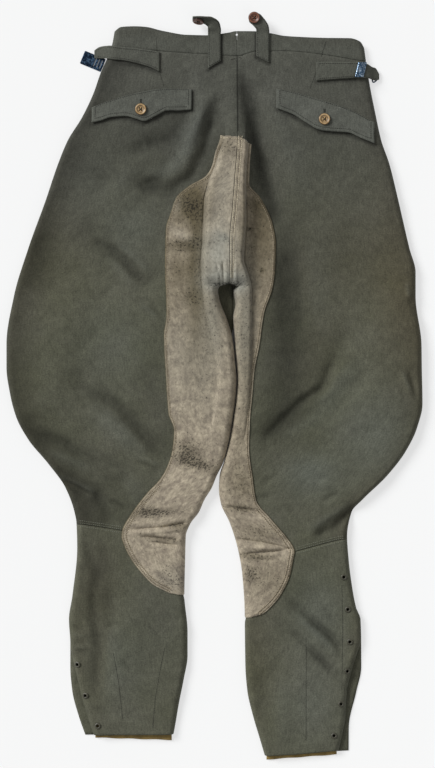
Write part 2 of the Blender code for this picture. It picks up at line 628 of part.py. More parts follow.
def add_turned(name, profile, steps, place, axis, shade):
    """Screw a profile of (radius, height) rows round an axis."""
    mesh = bpy.data.meshes.new(name)
    points = [(radius * MILLIMETRE, 0, height * MILLIMETRE) for radius, height in profile]
    mesh.from_pydata(points, [(i, i + 1) for i in range(len(points) - 1)], [])
    mesh.materials.append(shade)
    piece = bpy.data.objects.new(name, mesh)
    PARTS.objects.link(piece)
    screw = piece.modifiers.new("turn", "SCREW")
    screw.steps = screw.render_steps = steps
    screw.use_merge_vertices = True
    screw.merge_threshold = 1e-5
    screw.use_smooth_shade = True
    stand(piece, place, axis)
    return piece


def stand(piece, place, axis):
    """Put a piece at a place in millimetres with its Z along an axis."""
    piece.location = Vector(place) * MILLIMETRE
    piece.rotation_mode = "QUATERNION"
    piece.rotation_quaternion = Vector(axis).to_track_quat("Z", "Y")


def cut_hole(piece, place, axis, radius):
    """Round hole through a piece."""
    bpy.ops.mesh.primitive_cylinder_add(vertices=12, radius=radius * MILLIMETRE, depth=14 * MILLIMETRE)
    cutter = bpy.context.object
    cutter.name = "cut_" + piece.name
    for holder in list(cutter.users_collection):
        holder.objects.unlink(cutter)
    CUTTERS.objects.link(cutter)
    stand(cutter, place, axis)
    cutter.hide_render = True
    cutter.display_type = "WIRE"
    cut = piece.modifiers.new("hole", "BOOLEAN")
    cut.operation = "DIFFERENCE"
    cut.object = cutter


def build_eyelets(side, calf, ground):
    r = EYELET_RADIUS
    t = EYELET_THICKNESS
    for number, (across, down) in enumerate(EYELETS[side], 1):
        place, axis = ground.seat(across, down, r)
        profile = [(EYELET_HOLE, 0), (EYELET_HOLE, t), (r, t * 0.5), (r, 0), (EYELET_HOLE, 0)]
        add_turned(f"eyelet_{side}_{number}", profile, 10, place, axis, EYELET_SHADE)
        cut_hole(calf, place, axis, EYELET_HOLE)


def build_cinch(side, ground):
    """Cinch strap: sewn on at its base, then free past the side seam."""
    outline = CINCH_STRAP[side]
    share = np.linspace(0, 1, 4)[:, None]
    downs = outline["top"] + (outline["bottom"] - outline["top"]) * share
    across = outline["across"] + 0 * share
    base, normal = ground.over(across, downs)
    base += normal * SEWN_LIFT
    free = np.broadcast_to(outline["height"] > 0, downs.shape)[..., None]
    base = np.where(free, to_world(across, downs, outline["height"]), base)
    normal = np.where(free, np.array([0.0, 0, 1]), normal)
    wall("cinch_strap_" + side, base + normal * STRAP_THICKNESS, base, WAISTBAND)
    return base + normal * STRAP_THICKNESS


def build_brace_tab(side, ground):
    """Brace tab sewn on below the waist, free above it, with a button near its end."""
    tab = BRACE_TAB[side]
    free = tab["free"]
    share = np.array([0, 0.5, 1.0])
    low = tab["ends"][0] + (tab["ends"][1] - tab["ends"][0]) * share
    downs = low + (np.full(3, 8.0) - low) * np.linspace(0, 1, 4)[:, None]
    across = tab["across"] + TAB_WIDTH * (share - 0.5) + 0 * downs
    base, normal = ground.over(across, downs)
    lower = base + normal * SEWN_LIFT
    turn = np.radians(free["turn"])[:, None]
    lean = np.radians(free["lean"])[:, None]
    zero = 0 * turn
    side_way = np.concatenate([np.cos(turn), np.sin(turn), zero], axis=1)
    up = np.concatenate([zero, zero, zero + 1], axis=1)
    width_way = side_way * np.cos(lean) + up * np.sin(lean)
    outward = up * np.cos(lean) - side_way * np.sin(lean)
    middle = to_world(free["across"], free["down"], free["height"])
    taper = np.array([1] * (len(middle) - 1) + [0.6])
    spread = (TAB_WIDTH * (share - 0.5) * taper[:, None])[..., None]
    free_lower = middle[:, None] + width_way[:, None] * spread
    lower = np.concatenate([lower, free_lower])
    normal = np.concatenate([normal, np.repeat(outward[:, None], 3, axis=1)])
    wall("brace_tab_" + side, lower + normal * TAB_THICKNESS, lower, WAISTBAND)
    row = TAB_BUTTON_ROW[side]
    place = middle[row] + outward[row] * (TAB_THICKNESS + 5 * GAP)
    add_button("brace_button_" + side, place, outward[row], BROWN)


def build_buckle_left():
    """Stamped cinch buckle: a plate at one end and a ladder of bars at the other, lying on the surface."""
    half_length, half_width, slot, bar = BUCKLE_LEFT["sizes"]
    flat = bpy.data.curves.new("buckle_left", "CURVE")
    flat.dimensions = "2D"
    flat.fill_mode = "BOTH"
    flat.extrude = STEEL / 2 * MILLIMETRE
    rims = [(-half_length, half_length, half_width)]
    first = half_length - 3 * (slot + bar)
    rims += [(x, x + slot, half_width - bar) for x in first + (slot + bar) * np.arange(3)]
    for start, end, half in rims:
        loop = flat.splines.new("POLY")
        corners = [(start, -half), (end, -half), (end, half), (start, half)]
        loop.points.add(3)
        loop.use_cyclic_u = True
        for point, (x, y) in zip(loop.points, corners):
            point.co = (x * MILLIMETRE, y * MILLIMETRE, 0, 1)
    flat.materials.append(STEEL_SHADE)
    piece = bpy.data.objects.new("buckle_left", flat)
    PARTS.objects.link(piece)
    piece.location = Vector(to_world(*BUCKLE_LEFT["place"], STEEL / 2)) * MILLIMETRE
    piece.rotation_euler = (0, 0, BUCKLE_LEFT["turn"])


def build_buckle_right(strap_top):
    """Slide plate over the strap, with one rolled edge, and the wire frame at the strap's end."""
    u = SLIDE_PLATE["along"]
    v = np.linspace(-SLIDE_HALF_WIDTH, SLIDE_HALF_WIDTH, 3)[:, None]
    across, down = SLIDE_PLACE
    base, _ = Ground(strap_top).over(across + u * math.cos(SLIDE_LEAN) - v * math.sin(SLIDE_LEAN),
                                     down + v * math.cos(SLIDE_LEAN) + 0 * u)
    base[..., 2] += SLIDE_PLATE["rise"]
    wall("buckle_right", base + np.array([0, 0, STEEL]), base, STEEL_SHADE)
    wire = bpy.data.curves.new("buckle_frame_right", "CURVE")
    wire.dimensions = "3D"
    wire.bevel_depth = WIRE_RADIUS * MILLIMETRE
    wire.bevel_resolution = 1
    wire.resolution_u = 4
    loop = wire.splines.new("BEZIER")
    loop.bezier_points.add(3)
    loop.use_cyclic_u = True
    for point, corner in zip(loop.bezier_points, WIRE_CORNERS):
        point.co = Vector(to_world(*corner, WIRE_RADIUS)) * MILLIMETRE
        point.handle_left_type = point.handle_right_type = "AUTO"
    wire.materials.append(STEEL_SHADE)
    PARTS.objects.link(bpy.data.objects.new("buckle_frame_right", wire))


clear_scene()
PARTS = bpy.data.collections.new("riding_breeches")
CUTTERS = bpy.data.collections.new("cutters")
bpy.context.scene.collection.children.link(PARTS)
bpy.context.scene.collection.children.link(CUTTERS)
WOOL = material("wool", (0.082, 0.086, 0.068), 0.9)
WAISTBAND = material("waistband wool", (0.082, 0.084, 0.071), 0.9)
SUEDE_SHADE = material("suede", (0.235, 0.19, 0.14), 0.85)
TAPE = material("hem tape", (0.2, 0.155, 0.075), 0.85)
HORN = material("horn", (0.25, 0.19, 0.12), 0.4)
BROWN = material("brown button", (0.13, 0.06, 0.035), 0.4)
EYELET_SHADE = material("painted eyelet", (0.05, 0.052, 0.04), 0.5)
STEEL_SHADE = material("blued steel", (0.05, 0.07, 0.095), 0.35, 0.9)

for side_name in SIDES:
    thigh_rows_used, calf_rows_used, calf_piece, seat_ground, calf_ground = build_back(side_name)
    build_strapping(side_name, thigh_rows_used, calf_rows_used)
    build_front(side_name)
    build_flap(side_name, seat_ground)
    build_eyelets(side_name, calf_piece, calf_ground)
    strap_face = build_cinch(side_name, seat_ground)
    build_brace_tab(side_name, seat_ground)
build_fly()
build_buckle_left()
build_buckle_right(strap_face)
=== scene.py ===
"""Riding breeches in wool with suede strapping, lying flat with the back up.

Each piece is a thin shell on the form of its CAD solid, with its folds, creases, seams and stitching.
Across and down are millimetres on the garment, seen from above: across runs to the right from the middle,
down runs from the waist to the hems. Heights are millimetres above the surface it lies on.
"""

import math

import bmesh
import bpy
import numpy as np
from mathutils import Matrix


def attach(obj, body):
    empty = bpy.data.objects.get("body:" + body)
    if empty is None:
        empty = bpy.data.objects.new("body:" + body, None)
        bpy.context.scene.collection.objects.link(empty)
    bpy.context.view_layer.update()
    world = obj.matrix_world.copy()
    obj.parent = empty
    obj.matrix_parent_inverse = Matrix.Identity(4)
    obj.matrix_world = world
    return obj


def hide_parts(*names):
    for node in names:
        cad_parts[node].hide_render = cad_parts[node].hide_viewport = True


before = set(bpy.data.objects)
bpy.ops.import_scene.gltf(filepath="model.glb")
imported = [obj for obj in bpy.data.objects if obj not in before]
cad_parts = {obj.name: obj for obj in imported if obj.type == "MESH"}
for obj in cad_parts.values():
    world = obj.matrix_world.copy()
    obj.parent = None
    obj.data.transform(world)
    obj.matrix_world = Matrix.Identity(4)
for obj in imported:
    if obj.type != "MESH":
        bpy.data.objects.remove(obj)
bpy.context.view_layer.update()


# Back thigh panels. Two panels of heavy wool twill, cut wide at the hip, sewn at the seat, the side and
# the inside leg. They arch over the front panels, with a raised fold over the seat seam.

WAIST_Y = 518.7
CENTRE_ACROSS = -0.5
CLOTH = 1.6
SUEDE = 1.2
GAP = 0.3
SEAM = 0.06
STRAP_LIFT = 1.5
FRONT_TOP = CLOTH + GAP
EDGE_RADIUS = 9.0
FLANK_WIDTH = 18.0
FLANK_SHARE = 0.9
RIM_SHARE = 0.7
LEFT_FLANK = 6.5
RIGHT_FLANK = 4.5
SOFT_FLANK = 13.0
RIDGE_SOFT = (120, 165)
SUEDE_ENDS_AT = 0.305
WRAP_FADES = 9.0
SAG_FADES = 120.0
SIDES = ("left", "right")
INWARD = {"left": 1.0, "right": -1.0}
LEGS_PART = (369.0, 377.0)
SUEDE_WRAPS = (369.0, 376.0)


def table(names, *rows):
    """Named columns from rows of numbers."""
    return dict(zip(names.split(), np.array(rows, float).T))


SIDE_SEAM = {
    "left": table("down across", (0, -145), (26, -150), (67, -167), (93, -176), (128, -192.5),
                  (162, -213.5), (197, -228), (250, -246), (319, -271), (389, -292), (458, -302.7),
                  (493, -302.7), (528, -298), (563, -289), (597, -271), (632, -242), (667, -217),
                  (702, -204), (719, -201), (754, -200), (824, -207), (858, -212), (893, -210),
                  (928, -210), (963, -207), (998, -198), (1032, -186)),
    "right": table("down across", (26, 217), (48, 220), (80, 225), (128, 234.5), (162, 242), (197, 254),
                   (250, 267), (319, 283), (354, 292), (389, 292), (458, 300.5), (493, 301), (545, 302),
                   (580, 294), (615, 277), (650, 250), (684, 215), (702, 199), (737, 192.5),
                   (771, 194.7), (806, 199), (841, 205.5), (858, 212), (893, 213), (928, 213),
                   (963, 206), (1015, 195), (1050, 194.7)),
}
SEAT_SEAM = table("down across", (0, 32), (150, 33), (216, 29), (267, 25), (307, 21.5), (367, 21))
INSIDE_LEG = {
    "left": table("down across", (368, 20.8), (371, 15), (374, 7), (380, 5), (394, 7), (423, 18),
                  (452, 26.5), (481, 30), (510, 32), (539, 30), (568, 26), (599, 20.7), (629, 12.7),
                  (650, 2.5), (666, -4), (684, -15), (702, -23), (718, -35), (737, -42), (771, -43),
                  (824, -44), (876, -39.5), (911, -39.5), (945, -45), (980, -52), (1015, -58),
                  (1035, -62)),
    "right": table("down across", (368, 21.4), (371, 27), (374, 31), (381, 27), (400, 30), (419, 26.8),
                   (440, 28), (467, 29.4), (481, 30.8), (510, 32.8), (539, 30.8), (568, 26.8),
                   (599, 21.5), (629, 13.5), (650, 7), (670, 6), (690, 9), (715, 20.7), (742, 30),
                   (767, 36), (793, 40), (844, 43.4), (887, 43.9), (928, 44.6), (963, 47.5),
                   (998, 55.5), (1032, 65.6), (1057, 73)),
}
RIDGE_FOOT = {
    "left": table("down across", (0, 16), (120, 16), (157, 16), (180, 9), (200, 3), (216, -4), (232, -9),
                  (249, -12.3), (307, -14), (341, -16.5), (367, -15), (405, -11), (451, 1), (506, 8),
                  (560, 0), (600, -8), (650, -24), (700, -46), (760, -58), (825, -56), (1040, -76)),
    "right": table("down across", (0, 47), (168, 46.5), (200, 44), (226, 43), (271, 43.5), (338, 39.5),
                   (352, 44.3), (381, 51.7), (439, 51.7), (529, 49), (565, 45), (600, 40), (650, 28),
                   (700, 34), (760, 54), (844, 60), (1060, 92)),
}
STRAP_EDGE = {
    "left": table("down across", (0, 2), (120, 2), (157, 8), (180, 1), (200, -4), (214, -12), (231, -39),
                  (246.5, -56), (267, -63.4), (291, -70.7), (341, -72), (416, -70), (445, -73.6),
                  (507, -70.7), (558, -67), (584, -59), (609, -61), (636, -69), (655, -80), (673, -97),
                  (693, -113), (712, -126), (728, -134), (737, -135), (752, -130.5), (773, -119.5),
                  (793, -103.6), (807, -89.5), (823, -64), (860, -100), (1040, -110)),
    "right": table("down across", (0, 58), (120, 58), (157, 53), (190, 51), (226, 50), (246, 65.6),
                   (267, 77.2), (287, 84.5), (313, 88.4), (349, 87.4), (374, 84.5), (393, 78.7),
                   (412, 72), (465, 64), (494, 58), (528, 55), (573, 51), (609, 50), (654, 55.5),
                   (684, 60), (712, 82), (739, 105), (758, 116), (771, 114), (795, 109), (824, 94.6),
                   (841, 80), (855, 67), (890, 100), (1060, 115)),
}
SEAMS = {
    "left": dict(waist=(28, 41, 2), knee=(720, 733), hem=(1026, 1025)),
    "right": dict(waist=(48, 41, -11), knee=(742, 767), hem=(1049, 1056)),
}

# Loft of the empty garment, the seat's ridge and leg rolls, and its folds, large and then small. Width is
# how far a fold fades to each side, rise its height, below zero for a hollow
LOFT = table("down height", (0, 10.5), (60, 12), (200, 13.5), (640, 14), (720, 12.5), (780, 12),
             (1060, 10.5))
RIDGE = table("down rise", (40, 0), (90, 2), (130, 7), (160, 13), (200, 18), (260, 21), (330, 21),
              (358, 19), (376, 9), (430, 7), (480, 6), (560, 3), (620, 0), (1060, 0))
FOLDS = table("across down to_across to_down width rise",
    (-7, 104, -43, 206, 14, 4.5), (3, 130, -94, 232, 13, -4.0), (-188, 206, -94, 228, 18, -3.0),
    (48, 97, 88, 271, 16, -4.5), (105, 351, 116, 409, 18, -3.0), (-174, 300, -94, 365, 22, -3.5),
    (-188, 518, -72, 612, 20, -4.5), (-268, 583, -130, 648, 18, -4.0), (80, 590, 211, 510, 20, -4.5),
    (-224, 655, -170, 676, 12, -4.0), (158, 724, 199, 699, 12, -4.0), (-235, 440, -235, 520, 50, 7.0),
    (240, 440, 240, 520, 50, 7.0), (-120, 120, -140, 160, 40, 3.0), (150, 150, 165, 190, 40, 3.0),
    (-110, 420, -100, 470, 40, 4.0), (160, 400, 150, 460, 40, 4.0), (-120, 850, -130, 960, 30, 2.0),
    (125, 870, 125, 980, 30, 2.0), (-159, 764, -150, 844, 13, -2.5), (102, 815, 185, 902, 13, -2.5))
CREASES = table(
    "across down to_across to_down width rise",
    # Seat, left: the fold that falls away from the seam
    (-26, 60, -20, 120, 12, 1.5), (-18, 120, -38, 176, 10, 4.0), (-38, 176, -66, 208, 11, 3.6),
    (-66, 208, -98, 214, 11, 2.2),
    # The hollow beneath that fold
    (-5, 118, -13, 176, 7, -4.5), (-13, 176, -36, 216, 9, -5.6), (-36, 216, -66, 237, 10, -6.0),
    (-66, 237, -100, 226, 11, -4.8),
    # The cloth beyond it
    (-40, 126, -60, 162, 13, -3.6), (-60, 162, -100, 172, 12, -4.2), (-100, 172, -136, 186, 12, -3.4),
    (-150, 178, -168, 240, 18, -1.8), (-120, 205, -150, 235, 14, 1.6),
    # Left thigh, upper part
    (-172, 309, -150, 321, 6, -3.6), (-150, 321, -127, 340, 6, -5.6), (-127, 340, -109, 361, 7, -5.8),
    (-109, 361, -94, 371, 5, -3.2), (-140, 312, -98, 352, 8, 1.8), (-150, 336, -116, 372, 8, 1.4),
    (-108, 392, -86, 405, 4, -2.8), (-86, 405, -72, 421, 4, -2.6), (-104, 400, -84, 418, 5, 1.6),
    (-112, 440, -80, 452, 7, -0.9),
    # Left thigh, the long diagonal
    (-196, 520, -162, 535, 5, -1.8), (-162, 535, -138, 548, 7, -4.2), (-138, 548, -112, 577, 8, -5.4),
    (-112, 577, -80, 614, 9, -5.2), (-168, 560, -112, 606, 16, 3.2),
    # Above the left knee
    (-256, 590, -218, 601, 8, -3.8), (-218, 601, -196, 618, 7, -4.6), (-196, 618, -166, 630, 5, -2.6),
    (-236, 616, -188, 636, 9, 2.2), (-220, 652, -176, 672, 3.5, 3.4), (-220, 657, -188, 675, 5, -7.5),
    (-113, 630, -98, 633, 3, -2.0), (-98, 633, -81, 644, 3, -2.8), (-110, 625, -82, 632, 4, 1.2),
    (-150, 686, -128, 698, 3.2, -3.6), (-168, 676, -150, 716, 8, -3.0), (-128, 650, -104, 690, 12, 1.6),
    # Seat, right: the hollow beside the ridge
    (40, 66, 56, 120, 9, -4.5), (56, 120, 61, 160, 9, -5.0), (58, 160, 72, 224, 10, -5.5),
    (72, 224, 90, 276, 8, -4.2), (86, 100, 108, 176, 13, 2.2), (112, 170, 128, 240, 16, 1.4),
    # Right thigh, upper part
    (102, 300, 118, 420, 20, -2.6), (118, 420, 112, 500, 22, -2.0), (150, 300, 150, 420, 26, 1.6),
    # Right thigh, the long diagonal
    (196, 440, 172, 486, 14, -2.8), (172, 486, 156, 520, 9, -4.4), (158, 520, 124, 543, 6, -5.2),
    (124, 543, 78, 590, 7, -4.2), (200, 492, 150, 556, 16, 2.8), (104, 588, 150, 566, 9, 1.6),
    # Above the right knee
    (72, 660, 92, 648, 5, -2.0), (60, 682, 80, 680, 4, -1.8), (158, 686, 178, 674, 4, -1.8),
    (100, 706, 145, 694, 7, -0.9), (98, 640, 170, 632, 16, 1.2), (148, 735, 174, 725, 4, -4.0),
    (174, 725, 198, 698, 5, -5.5), (140, 726, 190, 694, 6, 2.4),
    # Puckers of the right side seam
    (278, 372, 282, 392, 3, 2.2), (282, 392, 290, 414, 4, -2.8), (282, 496, 292, 532, 4, -3.2),
    (272, 500, 284, 528, 3, 1.8), (264, 506, 276, 536, 4, -1.4),
    # Puckers of the left lacing edge
    (-208, 868, -192, 873, 2.6, -1.5), (-206, 878, -190, 882, 2.4, 1.2),
    (-206, 888, -188, 892, 2.6, -1.5), (-204, 897, -186, 899, 2.4, 1.1),
    (-203, 905, -184, 904, 2.6, -1.2),
    # Left side seam, and the left calf
    (-250, 300, -244, 400, 26, -3.2), (-184, 758, -169, 792, 9, -3.0), (-169, 792, -176, 832, 9, -3.4),
    (-176, 832, -168, 888, 9, -3.6), (-168, 888, -172, 956, 9, -3.0), (-146, 880, -146, 960, 14, 1.8),
    (-158, 870, -142, 864, 4, -1.4),
    # Right calf
    (90, 858, 116, 879, 6, -2.4), (116, 879, 143, 903, 5, -4.8), (143, 903, 166, 929, 5, -4.8),
    (166, 929, 182, 942, 5, -2.6), (114, 836, 143, 861, 5, -3.4), (143, 861, 167, 880, 5, -4.6),
    (167, 880, 182, 900, 5, -4.2), (120, 848, 172, 900, 7, 2.0), (126, 806, 160, 838, 8, -1.6),
    (160, 838, 176, 858, 6, -1.6), (66, 1000, 74, 940, 10, -1.2), (96, 950, 100, 1040, 12, 1.2),
    # Left strapping
    (-122, 727, -72, 724, 2.6, -2.6), (-76, 724, -42, 717, 2.8, -5.0), (-112, 732, -46, 726, 2.8, 2.6),
    (-104, 737, -56, 741, 2.6, -4.4), (-92, 745, -58, 750, 2.6, -3.4), (-106, 703, -50, 700, 4, -1.2),
    (-66, 620, -20, 640, 6, -1.2), (-60, 330, -24, 322, 4, -1.0), (-70, 318, -30, 312, 3, -0.9),
    # Right strapping
    (20, 694, 56, 699, 3, -3.6), (24, 704, 84, 716, 6, 1.2), (31, 740, 72, 746, 2.6, -3.6),
    (72, 746, 112, 756, 2.6, -3.8), (40, 763, 108, 756, 2.6, -4.2), (40, 752, 100, 754, 2.8, 2.4),
    (50, 728, 108, 752, 4, -1.2), (44, 776, 100, 764, 4, -1.0),
    # Gathers where the legs part
    (4, 346, 8, 370, 2.2, -1.6), (12, 342, 13, 371, 2.2, -1.8), (16, 338, 17, 371, 2, 1.4),
    (27, 344, 25, 371, 2.2, -1.8), (31, 340, 30, 371, 2, 1.2), (8, 340, 4, 368, 2, 1.2))
LOWEST_FIELD = 5.0

CREASE_TAPER = 0.5
FIELD_SOFTNESS = 1.2

# Slow unevenness of cloth that has been worn and pressed: length and heading of each wave, which wanders
WANDER = 0.8
WANDER_LENGTH = 70.0
WAVES = table("length turn phase rise", (61, 0.35, 0.4, 0.30), (47, 1.2, 2.1, 0.26), (83, 2.2, 4.0, 0.34),
              (33, 1.75, 1.1, 0.16), (29, 0.8, 5.2, 0.13), (21, 2.7, 3.3, 0.09))


def curve(points, column, at, key="down"):
    """Monotone cubic through one column of a table: Hermite pieces whose slopes are harmonic means."""
    x = points[key]
    y = points[column]
    at = np.clip(np.asarray(at, float), x[0], x[-1])
    step = np.diff(x)
    slope = np.diff(y) / step
    product = slope[:-1] * slope[1:]
    mean = np.where(product > 0, 2 * product / np.where(product > 0, slope[:-1] + slope[1:], 1), 0)
    tangent = np.concatenate([[slope[0]], mean, [slope[-1]]])
    i = np.clip(np.searchsorted(x, at, side="right") - 1, 0, len(x) - 2)
    t = (at - x[i]) / step[i]
    return (y[i] * (1 + 2 * t) * (1 - t) ** 2 + tangent[i] * step[i] * t * (1 - t) ** 2
            + y[i + 1] * t * t * (3 - 2 * t) - tangent[i + 1] * step[i] * t * t * (1 - t))


def smooth(start, end, at):
    """0 before start and 1 after end, eased between by 3t^2 - 2t^3."""
    t = np.clip((at - start) / (end - start), 0, 1)
    return t * t * (3 - 2 * t)


def inner_edge(side, down):
    """The seat seam above the fork, then the silhouette of the inside leg."""
    seam = curve(SEAT_SEAM, "across", down) - INWARD[side] * GAP / 2
    return np.where(down < LEGS_PART[0] + 1, seam, curve(INSIDE_LEG[side], "across", down))


def strap_end(side):
    """Inner down value at which the suede ends on the calf."""
    knee, hem = SEAMS[side]["knee"][1], SEAMS[side]["hem"][1]
    return knee + (hem - knee) * SUEDE_ENDS_AT


def covered(side, down):
    """1 where the suede wraps the inside leg, so that the wool stands back by the suede's thickness."""
    end = strap_end(side)
    return smooth(*SUEDE_WRAPS, down) * (1 - smooth(end, end + WRAP_FADES, down))


def folds(rows, across, down, ends=0.0):
    """Sum of soft ridges: a bell curve of the distance to each row's line, tapered to its ends if asked."""
    height = 0 * across
    for x0, y0, x1, y1, width, rise in zip(*rows.values()):
        length = (x1 - x0) ** 2 + (y1 - y0) ** 2
        along = ((across - x0) * (x1 - x0) + (down - y0) * (y1 - y0)) / length
        t = np.clip(along, 0, 1)
        away = (across - x0 - t * (x1 - x0)) ** 2 + (down - y0 - t * (y1 - y0)) ** 2
        taper = 1 - ends * (2 * t - 1) ** 4
        height = height + rise * taper * np.exp(-away / width ** 2)
    return height


def field_height(across, down):
    """Outer face away from the edges: loft, folds, creases and waves, with the ridge between its feet."""
    height = curve(LOFT, "height", down) + folds(FOLDS, across, down)
    height = height + folds(CREASES, across, down, CREASE_TAPER)
    for length, turn, phase, rise in zip(*WAVES.values()):
        along = across * math.cos(turn) + down * math.sin(turn)
        wander = WANDER * np.sin(along / WANDER_LENGTH)
        height = height + rise * np.sin(2 * np.pi * along / length + phase + wander)
    height = LOWEST_FIELD + np.logaddexp(0, (height - LOWEST_FIELD) * FIELD_SOFTNESS) / FIELD_SOFTNESS
    soft = 1 - smooth(*RIDGE_SOFT, down)
    ridge = curve(RIDGE, "rise", down)
    for side, flank in (("left", LEFT_FLANK), ("right", RIGHT_FLANK)):
        inside = (across - curve(RIDGE_FOOT[side], "across", down)) * INWARD[side] + 1.0
        faded = smooth(-SOFT_FLANK, SOFT_FLANK, inside)
        ridge = ridge * (turned(inside, flank) * (1 - soft) + faded * soft)
    return height + ridge


def turned(distance, radius=EDGE_RADIUS):
    """Quarter circle at an edge: 0 at the edge, 1 a radius inside it."""
    inside = np.clip(distance / radius, 0, 1)
    return np.sqrt(1 - (1 - inside) ** 2)


def side_outline(side, down):
    """The side seam, which is the silhouette."""
    return curve(SIDE_SEAM[side], "across", down)


def leg_inner(side, down):
    """Inner edge of the wool, which stands back where the suede wraps it."""
    return inner_edge(side, down) - INWARD[side] * (SUEDE + GAP) * covered(side, down)


def cloth_height(side, across, down, outline=side_outline):
    """Height of the back's outer face, brought down in a quarter circle at the side seam and inside leg."""
    way = INWARD[side]
    outer = turned((across - outline(side, down)) * way)
    level = FRONT_TOP + (field_height(across, down) - FRONT_TOP) * outer
    rest = FRONT_TOP + STRAP_LIFT * covered(side, down)
    opened = smooth(*LEGS_PART, down)
    inner = 1 - opened * (1 - turned((leg_inner(side, down) - across) * way))
    return rest + (level - rest) * inner


def to_world(across, down, height):
    """Places in the frame, in millimetres."""
    return np.stack(np.broadcast_arrays(across - CENTRE_ACROSS, WAIST_Y - down, height), axis=-1)


# Columns of a panel's grid: shares of the way through the turn at the side, the field as far as the suede's
# edge, from there to the ridge's foot, the ridge's flank, its crest, and the turn at the inside leg. A row
# slopes from the side seam's down value to the inner edge's, by the share given where each span starts
QUARTER = 1 - np.cos(np.linspace(0, np.pi / 2, 9))
SPANS = [QUARTER, np.arange(1, 97) / 96, np.arange(1, 25) / 24, (np.arange(1, 17) / 16) ** 1.6,
         np.arange(1, 13) / 12, 1 - QUARTER[-2::-1]]
COLUMN_SPAN = np.concatenate([np.full(len(s), k) for k, s in enumerate(SPANS)])
COLUMN_SHARE = np.concatenate(SPANS)
EDGE_COLUMN = len(SPANS[0]) + len(SPANS[1]) - 1
SPAN_SLOPES = np.array([0, 0, 0.7, 0.86, 0.92, 0.96, 1.0])
SLOPE_SHARE = SPAN_SLOPES[COLUMN_SPAN] + COLUMN_SHARE * np.diff(SPAN_SLOPES)[COLUMN_SPAN]


def leg_rows(side, inner, slope=SLOPE_SHARE):
    """Down values of a grid from its rows' inner values: rows slope as the seams round them do."""
    seams = SEAMS[side]
    at = [seams["waist"][1], seams["knee"][1], seams["hem"][1]]
    outer = np.interp(inner, at, [seams["waist"][0], seams["knee"][0], seams["hem"][0]])
    sag = seams["waist"][2] * np.clip(1 - (inner - at[0]) / SAG_FADES, 0, 1)
    return outer[:, None] + (inner - outer)[:, None] * slope + sag[:, None] * np.sin(np.pi * slope)


def leg_columns(side, downs, outline=side_outline):
    """Across values of a grid: each column lies a share of the way along its span."""
    way = INWARD[side]
    inner = leg_inner(side, downs)
    foot = curve(RIDGE_FOOT[side], "across", downs)
    turn_start = outline(side, downs) + way * EDGE_RADIUS
    turn_end = inner - way * EDGE_RADIUS
    flank = foot + way * np.minimum((turn_end - foot) * way * FLANK_SHARE, FLANK_WIDTH)
    edge = curve(STRAP_EDGE[side], "across", downs)
    bounds = np.stack([turn_start - way * EDGE_RADIUS, turn_start, edge, foot, flank, turn_end, inner])
    column = np.arange(downs.shape[1])
    start = bounds[COLUMN_SPAN, :, column].T
    end = bounds[COLUMN_SPAN + 1, :, column].T
    return start + (end - start) * COLUMN_SHARE


def grid_normals(points):
    """Unit normals of a grid of points: the cross product of its central differences, turned upwards."""
    normal = np.cross(np.gradient(points, axis=1), np.gradient(points, axis=0))
    normal *= np.sign(normal[..., 2].sum())
    return normal / np.maximum(np.linalg.norm(normal, axis=-1, keepdims=True), 1e-9)


def shell(name, face, thickness, finish, lift=0.0, tints=None, normal=None):
    """Closed wall on a grid: its points moved out along their normals by the lift, and by the thickness.
    The rim has a share of the thickness, for a rounded edge. The UV map holds distances in the cloth."""
    if normal is None:
        normal = grid_normals(face)
    rows, columns = face.shape[:2]
    row, column = np.mgrid[:rows, :columns]
    inside = np.minimum(np.minimum(row, rows - 1 - row), np.minimum(column, columns - 1 - column))
    full = np.where(inside == 0, RIM_SHARE, 1.0)[..., None]
    outer = face + normal * (lift + thickness * full)
    inner = face + normal * (lift + thickness * (1 - full) * 0.5)
    inner[..., 2] = np.maximum(inner[..., 2], 0)
    index = np.arange(rows * columns).reshape(rows, columns)
    a, b, c, d = index[:-1, :-1], index[1:, :-1], index[1:, 1:], index[:-1, 1:]
    upper = np.stack([a, b, c, d], -1).reshape(-1, 4)
    edge = np.concatenate([index[:, 0], index[-1, 1:], index[-2::-1, -1], index[0, -2:0:-1]])
    following = np.roll(edge, -1)
    under = rows * columns
    sides = np.stack([edge, edge + under, following + under, following], -1)
    faces = np.concatenate([upper, upper[:, ::-1] + under, sides])
    points = np.concatenate([outer.reshape(-1, 3), inner.reshape(-1, 3)]) * 0.001
    corner = points[upper]
    facing = np.cross(corner[:, 2] - corner[:, 0], corner[:, 3] - corner[:, 1])
    if (facing * (corner - points[upper + under]).mean(axis=1)).sum() < 0:
        faces = faces[:, ::-1]
    piece = new_piece(name, points, faces, finish)
    across = np.linalg.norm(np.diff(face, axis=1, prepend=face[:, :1]), axis=-1).cumsum(axis=1)
    along = np.linalg.norm(np.diff(face, axis=0, prepend=face[:1]), axis=-1).cumsum(axis=0)
    cloth = np.stack([across - across[:, -1:] * 0.5, along.mean(axis=1, keepdims=True) + 0 * along], -1)
    cloth = np.concatenate([cloth.reshape(-1, 2)] * 2) * 0.001
    corners = np.empty(len(piece.data.loops), int)
    piece.data.loops.foreach_get("vertex_index", corners)
    piece.data.uv_layers.new(name="cloth").data.foreach_set("uv", cloth[corners].ravel())
    if tints is not None:
        colour = np.concatenate([tints.reshape(-1, 3)] * 2)
        colour = np.concatenate([colour, np.ones((len(colour), 1))], axis=1)
        layer = piece.data.color_attributes.new("tint", "FLOAT_COLOR", "POINT")
        layer.data.foreach_set("color", colour.ravel())
    return piece


